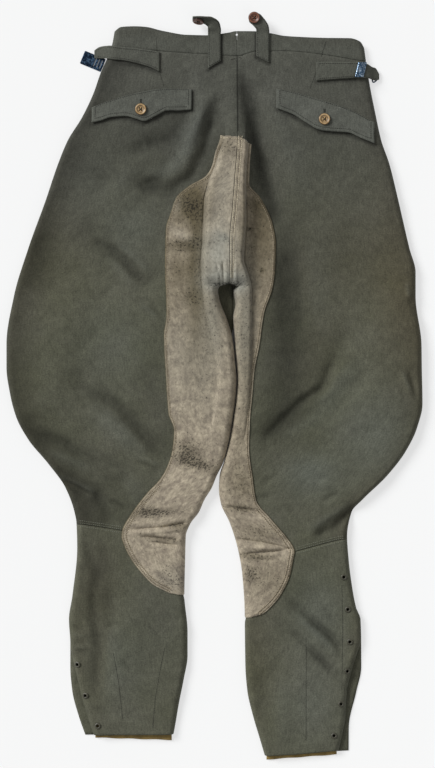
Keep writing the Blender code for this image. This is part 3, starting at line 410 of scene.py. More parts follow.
def new_piece(name, points, faces, finish):
    """Object at the origin from points in metres and faces turned outwards, riding the breeches."""
    mesh = bpy.data.meshes.new(name)
    mesh.from_pydata(points.tolist(), [], faces.tolist())
    mesh.materials.append(finish)
    mesh.shade_smooth()
    piece = bpy.data.objects.new(name, mesh)
    bpy.context.scene.collection.objects.link(piece)
    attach(piece, "root")
    return piece


def stand_for(node):
    """A piece takes the place of its solid, which is hidden."""
    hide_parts(node)


def lay(piece, node, slot, **cut):
    """The same for a sheet of cloth that is laid on what it rests on, with its flat size in metres, which is
    not used.
    """
    stand_for(node)


def linear(code):
    """Linear RGB and alpha from an sRGB hex colour."""
    value = np.array([int(code[i:i + 2], 16) for i in (1, 3, 5)]) / 255
    low = value / 12.92
    high = ((value + 0.055) / 1.055) ** 2.4
    return (*np.where(value <= 0.04045, low, high).tolist(), 1.0)


def set_node(finish, node, settings=(), links=()):
    """Set up a node of a material: settings name its properties or sockets, links join its sockets."""
    for key, value in dict(settings).items():
        if isinstance(key, str) and hasattr(node, key):
            setattr(node, key, value)
        else:
            node.inputs[key].default_value = value
    for key, socket in dict(links).items():
        finish.node_tree.links.new(socket, node.inputs[key])
    return node


def add_node(finish, kind, settings=(), links=()):
    """Add a shader node of a kind to a material, with its settings and links."""
    return set_node(finish, finish.node_tree.nodes.new("ShaderNode" + kind), settings, links)


def new_finish(name):
    """Empty material with a Principled shader, and the shader."""
    finish = bpy.data.materials.new(name)
    finish.use_nodes = True
    return finish, finish.node_tree.nodes["Principled BSDF"]


def mottled(finish, vector, noise, start, end, one, other):
    """Two colours mixed by a noise texture, from its start level to its end. Gives the mix and its share."""
    share = add_node(finish, "TexNoise", noise, {"Vector": vector}).outputs["Fac"]
    share = add_node(finish, "MapRange", {1: start, 2: end}, {0: share}).outputs[0]
    mix = add_node(finish, "Mix", {"data_type": "RGBA", 6: linear(one), 7: linear(other)}, {0: share})
    return mix.outputs[2], share


def spots(rows, across, down):
    """Three tints from a table of soft oval spots: each is a bell curve of the distance to its middle."""
    tints = np.zeros((*across.shape, 3))
    for x, y, wide, long, turn, dark, warm, pale in zip(*rows.values()):
        c, s = math.cos(math.radians(turn)), math.sin(math.radians(turn))
        u = ((across - x) * c + (down - y) * s) / wide
        v = ((down - y) * c - (across - x) * s) / long
        tints += np.exp(-u * u - v * v)[..., None] * np.array([dark, warm, pale])
    return np.clip(tints, 0, 1.5)


# Heavy woollen twill in worn grey-green: long fibres give a matt, slightly mottled face with a soft sheen.
# Its ribs are about 1 mm apart. The wave texture draws a soft slanting ripple every 10 mm in their place
def make_wool(name, ground, olive, brown, dusty, grey):
    finish, shader = new_finish(name)
    uv = add_node(finish, "UVMap", {"uv_map": "cloth"}).outputs["UV"]
    tint = add_node(finish, "Attribute", {"attribute_name": "tint"}).outputs["Color"]
    tint = add_node(finish, "SeparateColor", {}, {"Color": tint}).outputs
    place = add_node(finish, "TexCoord").outputs["Object"]
    colour, _ = mottled(finish, place, {"Scale": 9.0, "Detail": 4.0, "Roughness": 0.6}, 0.35, 0.68,
                        ground, olive)
    colour = add_node(finish, "Mix", {"data_type": "RGBA", 7: linear(brown)},
                      {0: tint["Green"], 6: colour}).outputs[2]
    colour = add_node(finish, "Mix", {"data_type": "RGBA", 7: linear(dusty)},
                      {0: tint["Blue"], 6: colour}).outputs[2]
    height = add_node(finish, "SeparateXYZ", {}, {0: place}).outputs["Y"]
    height = add_node(finish, "MapRange", {1: 0.15, 2: 0.42, 3: 0.0, 4: 0.65}, {0: height}).outputs[0]
    colour = add_node(finish, "Mix", {"data_type": "RGBA", 7: linear(grey)},
                      {0: height, 6: colour}).outputs[2]
    streak = add_node(finish, "Mapping", {"Scale": (420.0, 90.0, 1.0)}, {"Vector": uv}).outputs[0]
    streak = add_node(finish, "TexNoise", {"Scale": 1.0, "Detail": 3.0, "Roughness": 0.65},
                      {"Vector": streak}).outputs["Fac"]
    nap = add_node(finish, "TexNoise", {"Scale": 520.0, "Detail": 3.0, "Roughness": 0.7},
                   {"Vector": uv}).outputs["Fac"]
    shade = add_node(finish, "Math", {"operation": "MULTIPLY_ADD", 1: 0.55},
                     {0: streak, 2: nap}).outputs[0]
    shade = add_node(finish, "MapRange", {1: 0.5, 2: 1.05, 3: 0.56, 4: 1.44}, {0: shade}).outputs[0]
    worn = add_node(finish, "TexNoise", {"Scale": 85.0, "Detail": 4.0, "Roughness": 0.7},
                    {"Vector": uv}).outputs["Fac"]
    worn = add_node(finish, "MapRange", {1: 0.3, 2: 0.7, 3: 0.84, 4: 1.16}, {0: worn}).outputs[0]
    shade = add_node(finish, "Math", {"operation": "MULTIPLY"}, {0: shade, 1: worn}).outputs[0]
    # The dark tint dims the wool, both for dirt and for painted shade
    dark = add_node(finish, "MapRange", {1: 0.0, 2: 1.0, 3: 1.0, 4: 0.45},
                    {0: tint["Red"]}).outputs[0]
    shade = add_node(finish, "Math", {"operation": "MULTIPLY"}, {0: shade, 1: dark}).outputs[0]
    shade = add_node(finish, "CombineColor", {}, {0: shade, 1: shade, 2: shade}).outputs[0]
    colour = add_node(finish, "Mix", {"data_type": "RGBA", "blend_type": "MULTIPLY", 0: 1.0},
                      {6: colour, 7: shade}).outputs[2]
    rib = add_node(finish, "Mapping", {"Rotation": (0.0, 0.0, math.radians(28))},
                   {"Vector": uv}).outputs[0]
    rib = add_node(finish, "TexWave", {"Scale": 31.25, "Distortion": 0.6},
                   {"Vector": rib}).outputs["Fac"]
    relief = add_node(finish, "Math", {"operation": "MULTIPLY_ADD", 1: 0.35}, {0: rib, 2: nap}).outputs[0]
    bump = add_node(finish, "Bump", {"Strength": 0.35, "Distance": 0.0005}, {"Height": relief}).outputs[0]
    set_node(finish, shader, {"Roughness": 0.92, "Specular IOR Level": 0.25, "Sheen Weight": 0.12,
                              "Sheen Roughness": 0.5, "Sheen Tint": linear("#8f948a")},
             {"Base Color": colour, "Normal": bump})
    return finish


WOOL = make_wool("wool twill", "#555549", "#4e4f40", "#584e38", "#62665f", "#4b4c48")

# Where the wool is darker from dirt and damp, browned by sun, or dusty and rubbed. Much of the darkness is
# painted shade: in the seat's hollows, beside the ridge, beyond the right strapping and in the opening
# between the legs
WOOL_SPOTS = table("across down wide long turn dark warm pale",
    (-225, 300, 60, 110, 15, 0.06, 0.12, 0), (-190, 220, 50, 60, 10, 0.0, 0, 0.25),
    (-80, 155, 70, 34, -10, 0.40, 0, 0), (-62, 244, 34, 16, -20, 0.30, 0, 0),
    (265, 380, 40, 140, -8, 0.08, 0.35, 0), (180, 330, 60, 70, 0, 0.30, 0.15, 0),
    (150, 160, 50, 50, 0, 0.26, 0, 0.1), (150, 470, 30, 60, 20, 0.24, 0.1, 0),
    (66, 190, 16, 100, -16, 0.25, 0, 0), (104, 430, 34, 130, 0, 1.0, 0, 0),
    (90, 560, 30, 60, 0, 0.30, 0, 0), (-10, 190, 12, 50, 25, 0.5, 0, 0),
    (-84, 540, 20, 60, -20, 0.35, 0, 0), (-150, 690, 80, 50, 20, 0.42, 0, 0),
    (160, 745, 40, 12, -20, 0.25, 0, 0), (14, 420, 14, 70, 0, 1.4, 0.6, 0),
    (-120, 290, 40, 40, 0, 0.0, 0, 0.3), (-145, 460, 50, 60, 0, 0.0, 0, 0.25),
    (-40, 150, 14, 34, 28, 0.0, 0, 0.5), (230, 590, 60, 60, 0, 0.0, 0, 0.4),
    (140, 650, 40, 30, 0, 0.0, 0, 0.5))
# Band along each side seam: its painted shade, its brownness and its width
SIDE_SHADE_AND_BROWN = {"left": (0.85, 0.1, 64.0), "right": (0.34, 0.15, 44.0)}
# Painted shade per millimetre of a fold's depth, and painted light per millimetre of a crease's rise
VALLEY_PAINTED_SHADE = 0.075
CREST_PAINTED_LIGHT = 0.08

# Painted shadow: soft dark lines where sewn edges stand on the cloth, and along the centre seam
SHADE_LINES = table("across down to_across to_down width rise",
    (-178, 140, -150, 132.5, 3, 0.9), (-150, 132.5, -128, 131, 3, 0.9), (-128, 131, -103, 138.5, 3, 0.9),
    (-103, 138.5, -86, 130, 3, 0.9), (-86, 130, -69, 122.5, 3, 0.9), (-69, 122.5, -33, 121, 3, 0.9),
    (-31, 92, -31, 120, 2.6, 0.8), (89, 119, 113, 128, 3, 0.9), (113, 128, 132, 140, 3, 0.9),
    (132, 140, 152, 151, 3, 0.9), (152, 151, 193, 154.5, 3, 0.9), (193, 154.5, 231, 170, 3, 0.9),
    (-145, 48.5, -105, 55.7, 3, 1.0), (-105, 55.7, -80, 65, 3, 1.0), (147, 79, 204, 75, 3, 1.0),
    (32.6, 42, 33.4, 150, 1.1, 1.2), (10, 10, 10, 49, 2.6, 1.0), (-10, 61.5, 9, 50, 2.6, 1.0),
    (59.5, 8, 59.5, 41, 2.4, 1.0), (60, 43.5, 79, 53, 2.6, 1.0))
FORK_ROWS = np.linspace(365.5, 384.5, 18)
ABOVE_FORK = 364
BELOW_FORK = 386


def folded_tints(rows, across, down):
    """Spots, with painted shade in the folds' valleys, painted light on the creases' crests, and painted
    shadow lines beside the sewn edges.
    """
    tints = spots(rows, across, down)
    creases = folds(CREASES, across, down, CREASE_TAPER)
    valleys = np.maximum(-folds(FOLDS, across, down) - creases, 0)
    tints[..., 0] += folds(SHADE_LINES, across, down) + VALLEY_PAINTED_SHADE * valleys
    tints[..., 2] += CREST_PAINTED_LIGHT * np.maximum(creases, 0)
    return np.clip(tints, 0, 1.6)


def thigh_tints(side, across, down):
    """The same with a band along the side seam: browner wool, and painted shade where the cloth turns away.
    """
    dark, warm, width = SIDE_SHADE_AND_BROWN[side]
    near = 1 - smooth(0, width, (across - side_outline(side, down)) * INWARD[side])
    return folded_tints(WOOL_SPOTS, across, down) + near[..., None] * np.array([dark, warm, 0])


for side in SIDES:
    start = SEAMS[side]["waist"][1] + SEAM / 2
    end = SEAMS[side]["knee"][1] - SEAM / 2
    rows = [np.linspace(start, ABOVE_FORK, 108), FORK_ROWS, np.linspace(BELOW_FORK, end, 124)]
    downs = leg_rows(side, np.concatenate(rows))
    across = leg_columns(side, downs)
    face = to_world(across, downs, cloth_height(side, across, downs))
    thigh = shell("wool_thigh_back_" + side, face, CLOTH, WOOL, -CLOTH, thigh_tints(side, across, downs))
    lay(thigh, "back_" + side, "wool", flat=(0.335, 0.72), area=0.19, rests_on=["front_" + side])


# Back calf panels. Wool from the knee seam to the hem. Their outer edge laps over the front panel's and
# is laced to it, so it stands back from the silhouette below the swell of the calf.

LACING_EDGE = {
    "left": table("down across", (900, -210), (937, -201.5), (968, -194), (1000, -184.5), (1032, -174)),
    "right": table("down across", (890, 213), (938, 197.6), (966, 192), (1000, 190), (1028, 185),
                   (1054, 178.5)),
}
# Darker, browner and paler patches of the calf panels; the narrow dark ones along the calves' folds are
# painted shade
CALF_SPOTS = table("across down wide long turn dark warm pale",
    (-196, 900, 16, 90, 0, 0.15, 0.1, 0), (-170, 800, 30, 70, 0, 0.40, 0.15, 0),
    (-168, 930, 10, 80, 4, 0.30, 0.1, 0), (-128, 920, 34, 70, 0, 0.06, 0, 0.2),
    (-70, 860, 40, 80, 0, 0.2, 0, 0.1), (60, 900, 26, 110, 0, 0.18, 0.15, 0),
    (110, 850, 30, 40, 30, 0.18, 0, 0), (204, 900, 10, 120, 0, 0.2, 0.1, 0),
    (150, 850, 40, 60, 0, 0, 0, 0.4), (140, 980, 40, 60, 0, 0, 0, 0.35), (155, 915, 26, 8, 44, 0.5, 0, 0),
    (155, 872, 24, 7, 38, 0.4, 0, 0))


def lacing_outline(side, down):
    """The silhouette above the swell of the calf, the lacing edge below it."""
    lacing = curve(LACING_EDGE[side], "across", down)
    return np.where(down < LACING_EDGE[side]["down"][0], side_outline(side, down), lacing)


EYELETS = {
    "left": ((-199, 923), (-187.4, 968), (-169.7, 1012)),
    "right": ((187, 796), (193, 843), (196, 890), (192, 932.4), (183, 980), (173, 1026)),
}
EYELET_HOLE = 2.1


def on_cloth(side, across, down, lift=0.0, outline=side_outline):
    """Points a lift above the back's outer face, and its normals from differences over a millimetre."""
    across, down = np.broadcast_arrays(np.asarray(across, float), np.asarray(down, float))
    height = cloth_height(side, across, down, outline)
    before, beyond = (cloth_height(side, across + step, down, outline) for step in (-0.5, 0.5))
    above, below = (cloth_height(side, across, down + step, outline) for step in (-0.5, 0.5))
    normal = np.stack([before - beyond, below - above, np.ones_like(height)], axis=-1)
    normal /= np.linalg.norm(normal, axis=-1, keepdims=True)
    return to_world(across, down, height) + normal * lift, normal


def punch(piece, holes, radius):
    """Cut round holes down through a piece and keep the cut mesh."""
    for hole in holes:
        bpy.ops.mesh.primitive_cylinder_add(vertices=20, radius=radius * 0.001, depth=0.02,
                                            location=tuple(hole * 0.001))
        cutter = bpy.context.object
        cut = piece.modifiers.new("hole", "BOOLEAN")
        cut.operation = "DIFFERENCE"
        cut.object = cutter
        view = bpy.context.evaluated_depsgraph_get()
        mesh = bpy.data.meshes.new_from_object(piece.evaluated_get(view))
        piece.modifiers.clear()
        piece.data = mesh
        bpy.data.objects.remove(cutter, do_unlink=True)


for side in SIDES:
    downs = leg_rows(side, np.linspace(SEAMS[side]["knee"][1] + SEAM / 2, SEAMS[side]["hem"][1], 116))
    across = leg_columns(side, downs, lacing_outline)
    face = to_world(across, downs, cloth_height(side, across, downs, lacing_outline))
    calf = shell("wool_calf_back_" + side, face, CLOTH, WOOL, -CLOTH,
                 folded_tints(CALF_SPOTS, across, downs))
    places = np.array(EYELETS[side], float)
    holes, _ = on_cloth(side, places[:, 0], places[:, 1], 0, lacing_outline)
    punch(calf, holes, EYELET_HOLE)
    lay(calf, "calf_back_" + side, "wool", flat=(0.18, 0.32), area=0.05, rests_on=["calf_front_" + side])


# Back waistband. A band of the same wool, sewn to the thigh panels and joined at the centre back below a
# worn hole. Its upper edge is folded and pressed.

WAIST_EDGE = table("across down", (-145, 3), (-136, -2), (-118, -3), (-100, -2), (-76, 3.5), (-40, 9.5),
                   (-10, 10), (19, 6.5), (32, 4), (56, 4.2), (80, 7), (102, 11), (160, 13.8), (196, 14.5),
                   (210.6, 19), (217, 27), (220, 36))
FOLDED_DROP = 1.4
FOLDED_WIDTH = 2.0
FOLDED_DARK = 0.8
WAIST_HOLE = dict(down=9.7, height=11.0, radius=1.5)
WAISTBAND = make_wool("waistband twill", "#53554c", "#4c4e43", "#4f4b3d", "#62655e", "#4d4e48")
BAND_SPOTS = table("across down wide long turn dark warm pale",
    (-110, 5, 60, 6, 0, 0.3, 0.3, 0), (0, 14, 90, 5, 0, 0.2, 0.2, 0), (180, 20, 60, 6, 0, 0.3, 0.3, 0),
    (60, 40, 40, 12, 0, 0, 0, 0.25))

for side in SIDES:
    seam = leg_rows(side, np.array([SEAMS[side]["waist"][1]]))
    edge = seam
    for _ in range(4):
        edge = curve(WAIST_EDGE, "down", leg_columns(side, edge), key="across")
    downs = edge + (seam - SEAM / 2 - edge) * np.linspace(0, 1, 18)[:, None]
    across = leg_columns(side, downs)
    inside = (downs - edge) / FOLDED_WIDTH
    face = to_world(across, downs, cloth_height(side, across, downs) - FOLDED_DROP * np.exp(-inside))
    tints = spots(BAND_SPOTS, across, downs)
    # Darker along the folded top edge, with painted shadow lines beside the straps and tabs sewn on it
    tints[..., 0] += FOLDED_DARK * np.exp(-inside ** 2) + folds(SHADE_LINES, across, downs)
    band = shell("waistband_wool_back_" + side, face, CLOTH, WAISTBAND, -CLOTH, tints)
    hole = to_world(curve(SEAT_SEAM, "across", 0), WAIST_HOLE["down"], WAIST_HOLE["height"])
    punch(band, [hole], WAIST_HOLE["radius"])
    lay(band, "waistband_back_" + side, "waistband_wool", flat=(0.19, 0.033),
        rests_on=["waistband_front_" + side])


# Suede strapping. Soft suede sewn over the seat's fold, the inside of the thigh and the knee. It is laid
# over the wool, wraps the inside leg, and is scuffed grey and polished where it met the saddle.

# Where the suede is stained dark, browned or polished grey. The three short dark rows at down 370 are painted
# shadow under the ridge's lip at the fork
SUEDE_SPOTS = table("across down wide long turn dark warm pale",
    (-42, 250, 34, 46, 14, 0.55, 0.85, 0), (-36, 258, 22, 14, 30, 0.9, 0.6, 0),
    (-56, 256, 12, 14, 30, -0.3, -0.4, 0.15), (-48, 300, 20, 8, 28, -0.15, -0.3, 0.15),
    (-44, 314, 32, 9, -6, 0.9, 0.5, 0), (-24, 320, 12, 80, 0, 0.4, 0.9, 0),
    (-52, 350, 28, 30, 0, 0.45, 0.6, 0), (-30, 420, 16, 70, 0, 0.15, 0.5, 0),
    (-60, 400, 16, 40, 0, 0.1, 0.3, 0), (-34, 392, 18, 10, 20, 0.6, 0.2, 0),
    (-50, 480, 30, 70, 0, 0.0, 0.2, 0.2), (-40, 612, 20, 16, 10, 1.3, 0.4, 0),
    (-26, 632, 30, 9, 14, 1.4, 0.4, 0), (-46, 560, 20, 16, 0, 0.4, 0, 0),
    (-82, 703, 36, 6, -4, 1.5, 0.2, 0), (-98, 700, 14, 8, 0, 1.0, 0.2, 0),
    (-54, 722, 16, 5, 0, 1.0, 0.6, 0), (-72, 742, 26, 5, 6, 0.9, 0.4, 0),
    (-98, 760, 30, 18, 30, 0.4, 0, 0), (-60, 800, 30, 20, 0, 0.9, 0, 0.2),
    (-10, 480, 22, 90, 0, 0.35, 0.3, 0.2), (6, 330, 24, 40, 0, 0, 0, 0.8),
    (14, 368, 30, 14, 0, 0.1, 0, 0.8), (4, 371, 9, 2.6, 0, 1.5, 0.2, 0),
    (20, 370, 14, 2.2, 0, 1.5, 0.2, 0), (33, 370, 6, 2.6, 0, 1.5, 0.2, 0),
    (12, 240, 20, 70, 6, 0.2, 0.1, 0.3), (12, 306, 10, 6, 20, 0.7, 0, 0.3),
    (14, 172, 10, 16, 0, 0.8, 0.5, 0), (28, 180, 8, 24, 0, 0.5, 0.1, 0), (38, 300, 6, 60, 4, 0.1, 0.3, 0),
    (44, 420, 14, 110, 0, 0.5, 0.45, 0.4), (30, 372, 14, 16, 0, 0.1, 0.1, 0.5),
    (-2, 420, 14, 60, -8, 0.2, 0.5, 0.3), (72, 290, 28, 90, 0, 0.3, 0.85, 0),
    (60, 255, 14, 12, 0, 0.6, 0.3, 0), (68, 352, 4, 3, -30, 1.5, 0.4, 0), (52, 292, 3, 3, 0, 1.5, 0.3, 0),
    (68, 400, 18, 60, 0, 0.05, 0.2, 0), (52, 500, 20, 80, 0, 0.2, 0.4, 0),
    (34, 600, 20, 60, 0, 0.3, 0.3, 0), (44, 664, 30, 30, 0, 0.5, 0.5, 0),
    (40, 697, 20, 5, 6, 1.3, 0.5, 0), (66, 732, 34, 14, 6, 0.8, 0.4, 0), (56, 766, 26, 5, 6, 0.9, 0.5, 0),
    (52, 790, 10, 12, 0, 1.0, 0.2, 0), (84, 800, 40, 34, 0, 0.55, 0.35, 0))


FRONT_LIFTS = (452, 480)
FRONT_SETTLES_AT = 0.262


def lifted(side, down):
    """1 where the front strapping lies under the front panel."""
    knee, hem = SEAMS[side]["knee"][1], SEAMS[side]["hem"][1]
    settles = knee + (hem - knee) * FRONT_SETTLES_AT
    return smooth(*FRONT_LIFTS, down) * (1 - smooth(settles, strap_end(side), down))


# Suede is leather buffed on its flesh side: short fibres, quite matt, that darken where they are greasy and
# take a grey polish where they are rubbed flat. Its dark tint also paints shadow. Scuffs are drawn 2 to 6 mm
# wide
def make_suede(name, tan, sand, umber, grey):
    finish, shader = new_finish(name)
    uv = add_node(finish, "UVMap", {"uv_map": "cloth"}).outputs["UV"]
    tint = add_node(finish, "Attribute", {"attribute_name": "tint"}).outputs["Color"]
    tint = add_node(finish, "SeparateColor", {}, {"Color": tint}).outputs
    colour, _ = mottled(finish, uv, {"Scale": 64.0, "Detail": 6.0, "Roughness": 0.75, "Distortion": 0.4},
                        0.40, 0.62, tan, sand)
    colour = add_node(finish, "Mix", {"data_type": "RGBA", 7: linear(umber)},
                      {0: tint["Green"], 6: colour}).outputs[2]
    colour = add_node(finish, "Mix", {"data_type": "RGBA", 7: linear(grey)},
                      {0: tint["Blue"], 6: colour}).outputs[2]
    scuff = add_node(finish, "Mapping", {"Scale": (260.0, 150.0, 1.0)}, {"Vector": uv}).outputs[0]
    scuff = add_node(finish, "TexNoise", {"Scale": 1.0, "Detail": 4.0, "Roughness": 0.7,
                                          "Distortion": 0.6}, {"Vector": scuff}).outputs["Fac"]
    scuff_shade = add_node(finish, "MapRange", {1: 0.3, 2: 0.7, 3: 0.7, 4: 1.3},
                           {0: scuff}).outputs[0]
    speck = add_node(finish, "TexNoise", {"Scale": 330.0, "Detail": 2.0, "Roughness": 0.6},
                     {"Vector": uv}).outputs["Fac"]
    greasy = add_node(finish, "Math", {"operation": "MULTIPLY_ADD", 1: 0.135},
                      {0: tint["Red"], 2: speck}).outputs[0]
    greasy = add_node(finish, "MapRange", {1: 0.667, 2: 0.735, 3: 1.0, 4: 0.28},
                      {0: greasy}).outputs[0]
    # The dark tint dims the colour: grease, and painted shadow under the ridge's lip
    dim = add_node(finish, "MapRange", {1: 0.0, 2: 1.4, 3: 1.0, 4: 0.68}, {0: tint["Red"]}).outputs[0]
    shade = add_node(finish, "Math", {"operation": "MULTIPLY"}, {0: scuff_shade, 1: greasy}).outputs[0]
    shade = add_node(finish, "Math", {"operation": "MULTIPLY"}, {0: shade, 1: dim}).outputs[0]
    shade = add_node(finish, "CombineColor", {}, {0: shade, 1: shade, 2: shade}).outputs[0]
    colour = add_node(finish, "Mix", {"data_type": "RGBA", "blend_type": "MULTIPLY", 0: 1.0},
                      {6: colour, 7: shade}).outputs[2]
    nap = add_node(finish, "TexNoise", {"Scale": 900.0, "Detail": 3.0}, {"Vector": uv}).outputs["Fac"]
    relief = add_node(finish, "Math", {"operation": "MULTIPLY_ADD", 1: 0.8}, {0: scuff, 2: nap}).outputs[0]
    bump = add_node(finish, "Bump", {"Strength": 0.4, "Distance": 0.0006}, {"Height": relief}).outputs[0]
    set_node(finish, shader, {"Roughness": 0.85, "Specular IOR Level": 0.3, "Sheen Weight": 0.15,
                              "Sheen Roughness": 0.4}, {"Base Color": colour, "Normal": bump})
    return finish


SUEDE_FINISH = make_suede("buffed suede", "#887e6f", "#b0a590", "#645b45", "#97968b")
SUEDE_AREA = {"left": 0.062, "right": 0.040}
TOP_SLANT = 9.0
SLANT_ACROSS = (34, 54)
SLANT_DOWN = (157, 200)
SUEDE_TOP = 159.5
SEAM_BACK = 0.36
TOP_EDGE_TINT = (0.3, 1.0, 0)


def slanted(across, down):
    """Down values with the strapping's upper edge falling away to the right of the ridge."""
    return down + TOP_SLANT * smooth(*SLANT_ACROSS, across) * (1 - smooth(*SLANT_DOWN, down))


def strapping_rows(side):
    """Inner down values of the strapping's rows, closer at the fork and round the knee's creases."""
    above = np.linspace(SUEDE_TOP, ABOVE_FORK, 82)
    thigh = np.linspace(BELOW_FORK, 680, 96)
    knee = np.linspace(681.5, 782, 68)
    calf = np.linspace(784, strap_end(side), 26)
    return np.concatenate([above, FORK_ROWS, thigh, knee, calf])


# The edge column stays back a little where the two halves meet at the seat seam. One more column goes down
# over the edge where the suede wraps the inside leg
for side in SIDES:
    way = INWARD[side]
    downs = leg_rows(side, strapping_rows(side))
    across = leg_columns(side, downs)[:, EDGE_COLUMN:]
    downs = slanted(across, downs[:, EDGE_COLUMN:])
    wrap = covered(side, downs[:, -1:])
    seam = across[:, -1:].copy()
    across[:, -1:] -= way * SEAM_BACK * (1 - wrap)
    face = to_world(across, downs, cloth_height(side, across, downs))
    normal = grid_normals(face)
    foot = FRONT_TOP - (FRONT_TOP - SUEDE - GAP) * lifted(side, downs[:, -1:])
    low = cloth_height(side, seam, downs[:, -1:])
    face = np.concatenate([face, to_world(seam, downs[:, -1:], low + (foot - low) * wrap)], axis=1)
    normal = np.concatenate([normal, normal[:, -1:]], axis=1)
    tints = spots(SUEDE_SPOTS, across, downs)
    tints[:, 0] += TOP_EDGE_TINT
    tints = np.concatenate([tints, tints[:, -1:]], axis=1)
    strapping = shell("suede_strapping_back_" + side, face, SUEDE, SUEDE_FINISH, GAP, tints, normal)
    lay(strapping, "strapping_back_" + side, "suede", flat=(0.14, 0.70), area=SUEDE_AREA[side],
        rests_on=["back_" + side, "calf_back_" + side])


# Front panels, front strapping, front waistband and fly lap. They are the underside, which lies flat on the
# surface: plain wool, with the suede's other half under the inside of the knee.

FRONT_SEAM = table("down across", (0, 32), (200, 30), (367, 27), (432, 27.3))
FRONT_STRAP = table("down width", (470, 30), (540, 42), (640, 52), (740, 70), (800, 48), (860, 30))
FLY = table("down left right", (30, -28, 14), (140, -28, 14), (245, -26, 14), (260, -12, 10))
FRONT_WAIST_DROP = 12.0
FRONT_SEAM_DROP = 14.0
FRONT_PARTS = (432, 452)
KNEE_DROP = 2.5
# The front panels take this share of the back's spots, their painted shade included
FRONT_SPOT_SHARE = 0.25
LEAST_BAND = 8.0
STRAP_CLEARS = 4.0
TUCKED = 12.0


def front_inner(side, down):
    """Inner edge of a front panel: the front seam as far as the fork, then just inside the suede."""
    seam = curve(FRONT_SEAM, "across", down) - INWARD[side] * GAP / 2
    share = smooth(*FRONT_PARTS, down)
    return seam * (1 - share) + leg_inner(side, down) * share


def front_face(side, inner, columns):
    """Grid of a front panel's underside, raised where the front strapping lies beneath it."""
    downs = leg_rows(side, inner, np.linspace(0, 1, columns))
    outer, edge = side_outline(side, downs), front_inner(side, downs)
    across = outer + (edge - outer) * np.linspace(0, 1, columns)
    away = (edge - across) * INWARD[side] - curve(FRONT_STRAP, "width", downs) - STRAP_CLEARS
    height = STRAP_LIFT * lifted(side, downs) * (1 - smooth(0, TUCKED, away))
    return across, downs, to_world(across, downs, height)


for side in SIDES:
    way = INWARD[side]
    waist, knee, hem = (SEAMS[side][key][1] for key in ("waist", "knee", "hem"))
    rows = np.linspace(waist + FRONT_SEAM_DROP, knee + KNEE_DROP - SEAM, 150)
    across, downs, face = front_face(side, rows, 56)
    panel = shell("wool_thigh_front_" + side, face, CLOTH, WOOL, 0,
                  FRONT_SPOT_SHARE * spots(WOOL_SPOTS, across, downs))
    lay(panel, "front_" + side, "wool", flat=(0.33, 0.70), area=0.175, rests_on=["strapping_front_" + side])
    band_seam, band_across = downs[0], across[0]
    across, downs, face = front_face(side, np.linspace(knee + KNEE_DROP, hem, 60), 34)
    panel = shell("wool_calf_front_" + side, face, CLOTH, WOOL, 0,
                  FRONT_SPOT_SHARE * spots(CALF_SPOTS, across, downs))
    lay(panel, "calf_front_" + side, "wool", flat=(0.18, 0.32), area=0.046,
        rests_on=["strapping_front_" + side])
    top = curve(WAIST_EDGE, "down", band_across, key="across") + FRONT_WAIST_DROP
    top = np.minimum(top, band_seam - LEAST_BAND)
    downs = top + (band_seam - GAP - top) * np.linspace(0, 1, 10)[:, None]
    share = (band_across - band_across[0]) / (band_across[-1] - band_across[0])
    outer = side_outline(side, downs[:, :1])
    across = outer + (band_across[-1] - outer) * share
    band = shell("waistband_wool_front_" + side, to_world(across, downs, 0), CLOTH, WAISTBAND, 0,
                 spots(BAND_SPOTS, across, downs))
    lay(band, "waistband_front_" + side, "waistband_wool", flat=(0.19, 0.032))
    downs = np.linspace(FRONT_LIFTS[1] + 2, strap_end(side) - TUCKED, 120)[:, None] + np.zeros(24)
    edge = inner_edge(side, downs)
    width = curve(FRONT_STRAP, "width", downs) + SUEDE + GAP
    across = edge - way * width * np.linspace(1, 0, 24)
    strapping = shell("suede_strapping_front_" + side, to_world(across, downs, 0), SUEDE, SUEDE_FINISH, 0,
                      spots(SUEDE_SPOTS, across, downs))
    lay(strapping, "strapping_front_" + side, "suede", flat=(0.075, 0.34), area=0.0185)

downs = np.linspace(FLY["down"][0], FLY["down"][-1], 60)[:, None] + np.zeros(12)
edges = np.stack([curve(FLY, "left", downs[:, 0]), curve(FLY, "right", downs[:, 0])])
across = curve(FRONT_SEAM, "across", downs) + edges[0][:, None]
across = across + (edges[1] - edges[0])[:, None] * np.linspace(0, 1, 12)
fly = shell("wool_fly_lap", to_world(across, downs, FRONT_TOP), CLOTH, WOOL, 0,
            spots(WOOL_SPOTS, across, downs))
lay(fly, "fly_lap", "wool", flat=(0.042, 0.232), rests_on=["front_left", "front_right"])


# Hem tapes. A plain-woven cotton tape inside each hem, which shows as a narrow tan line below the wool.

TAPE_SHOWING = {"left": (4.5, 9.0), "right": (6.0, 6.5)}
TAPE_WIDTH = 22.0
TAPE_THICKNESS = 0.8
RIPPLE = 0.35
RIPPLE_LENGTH = 6.0


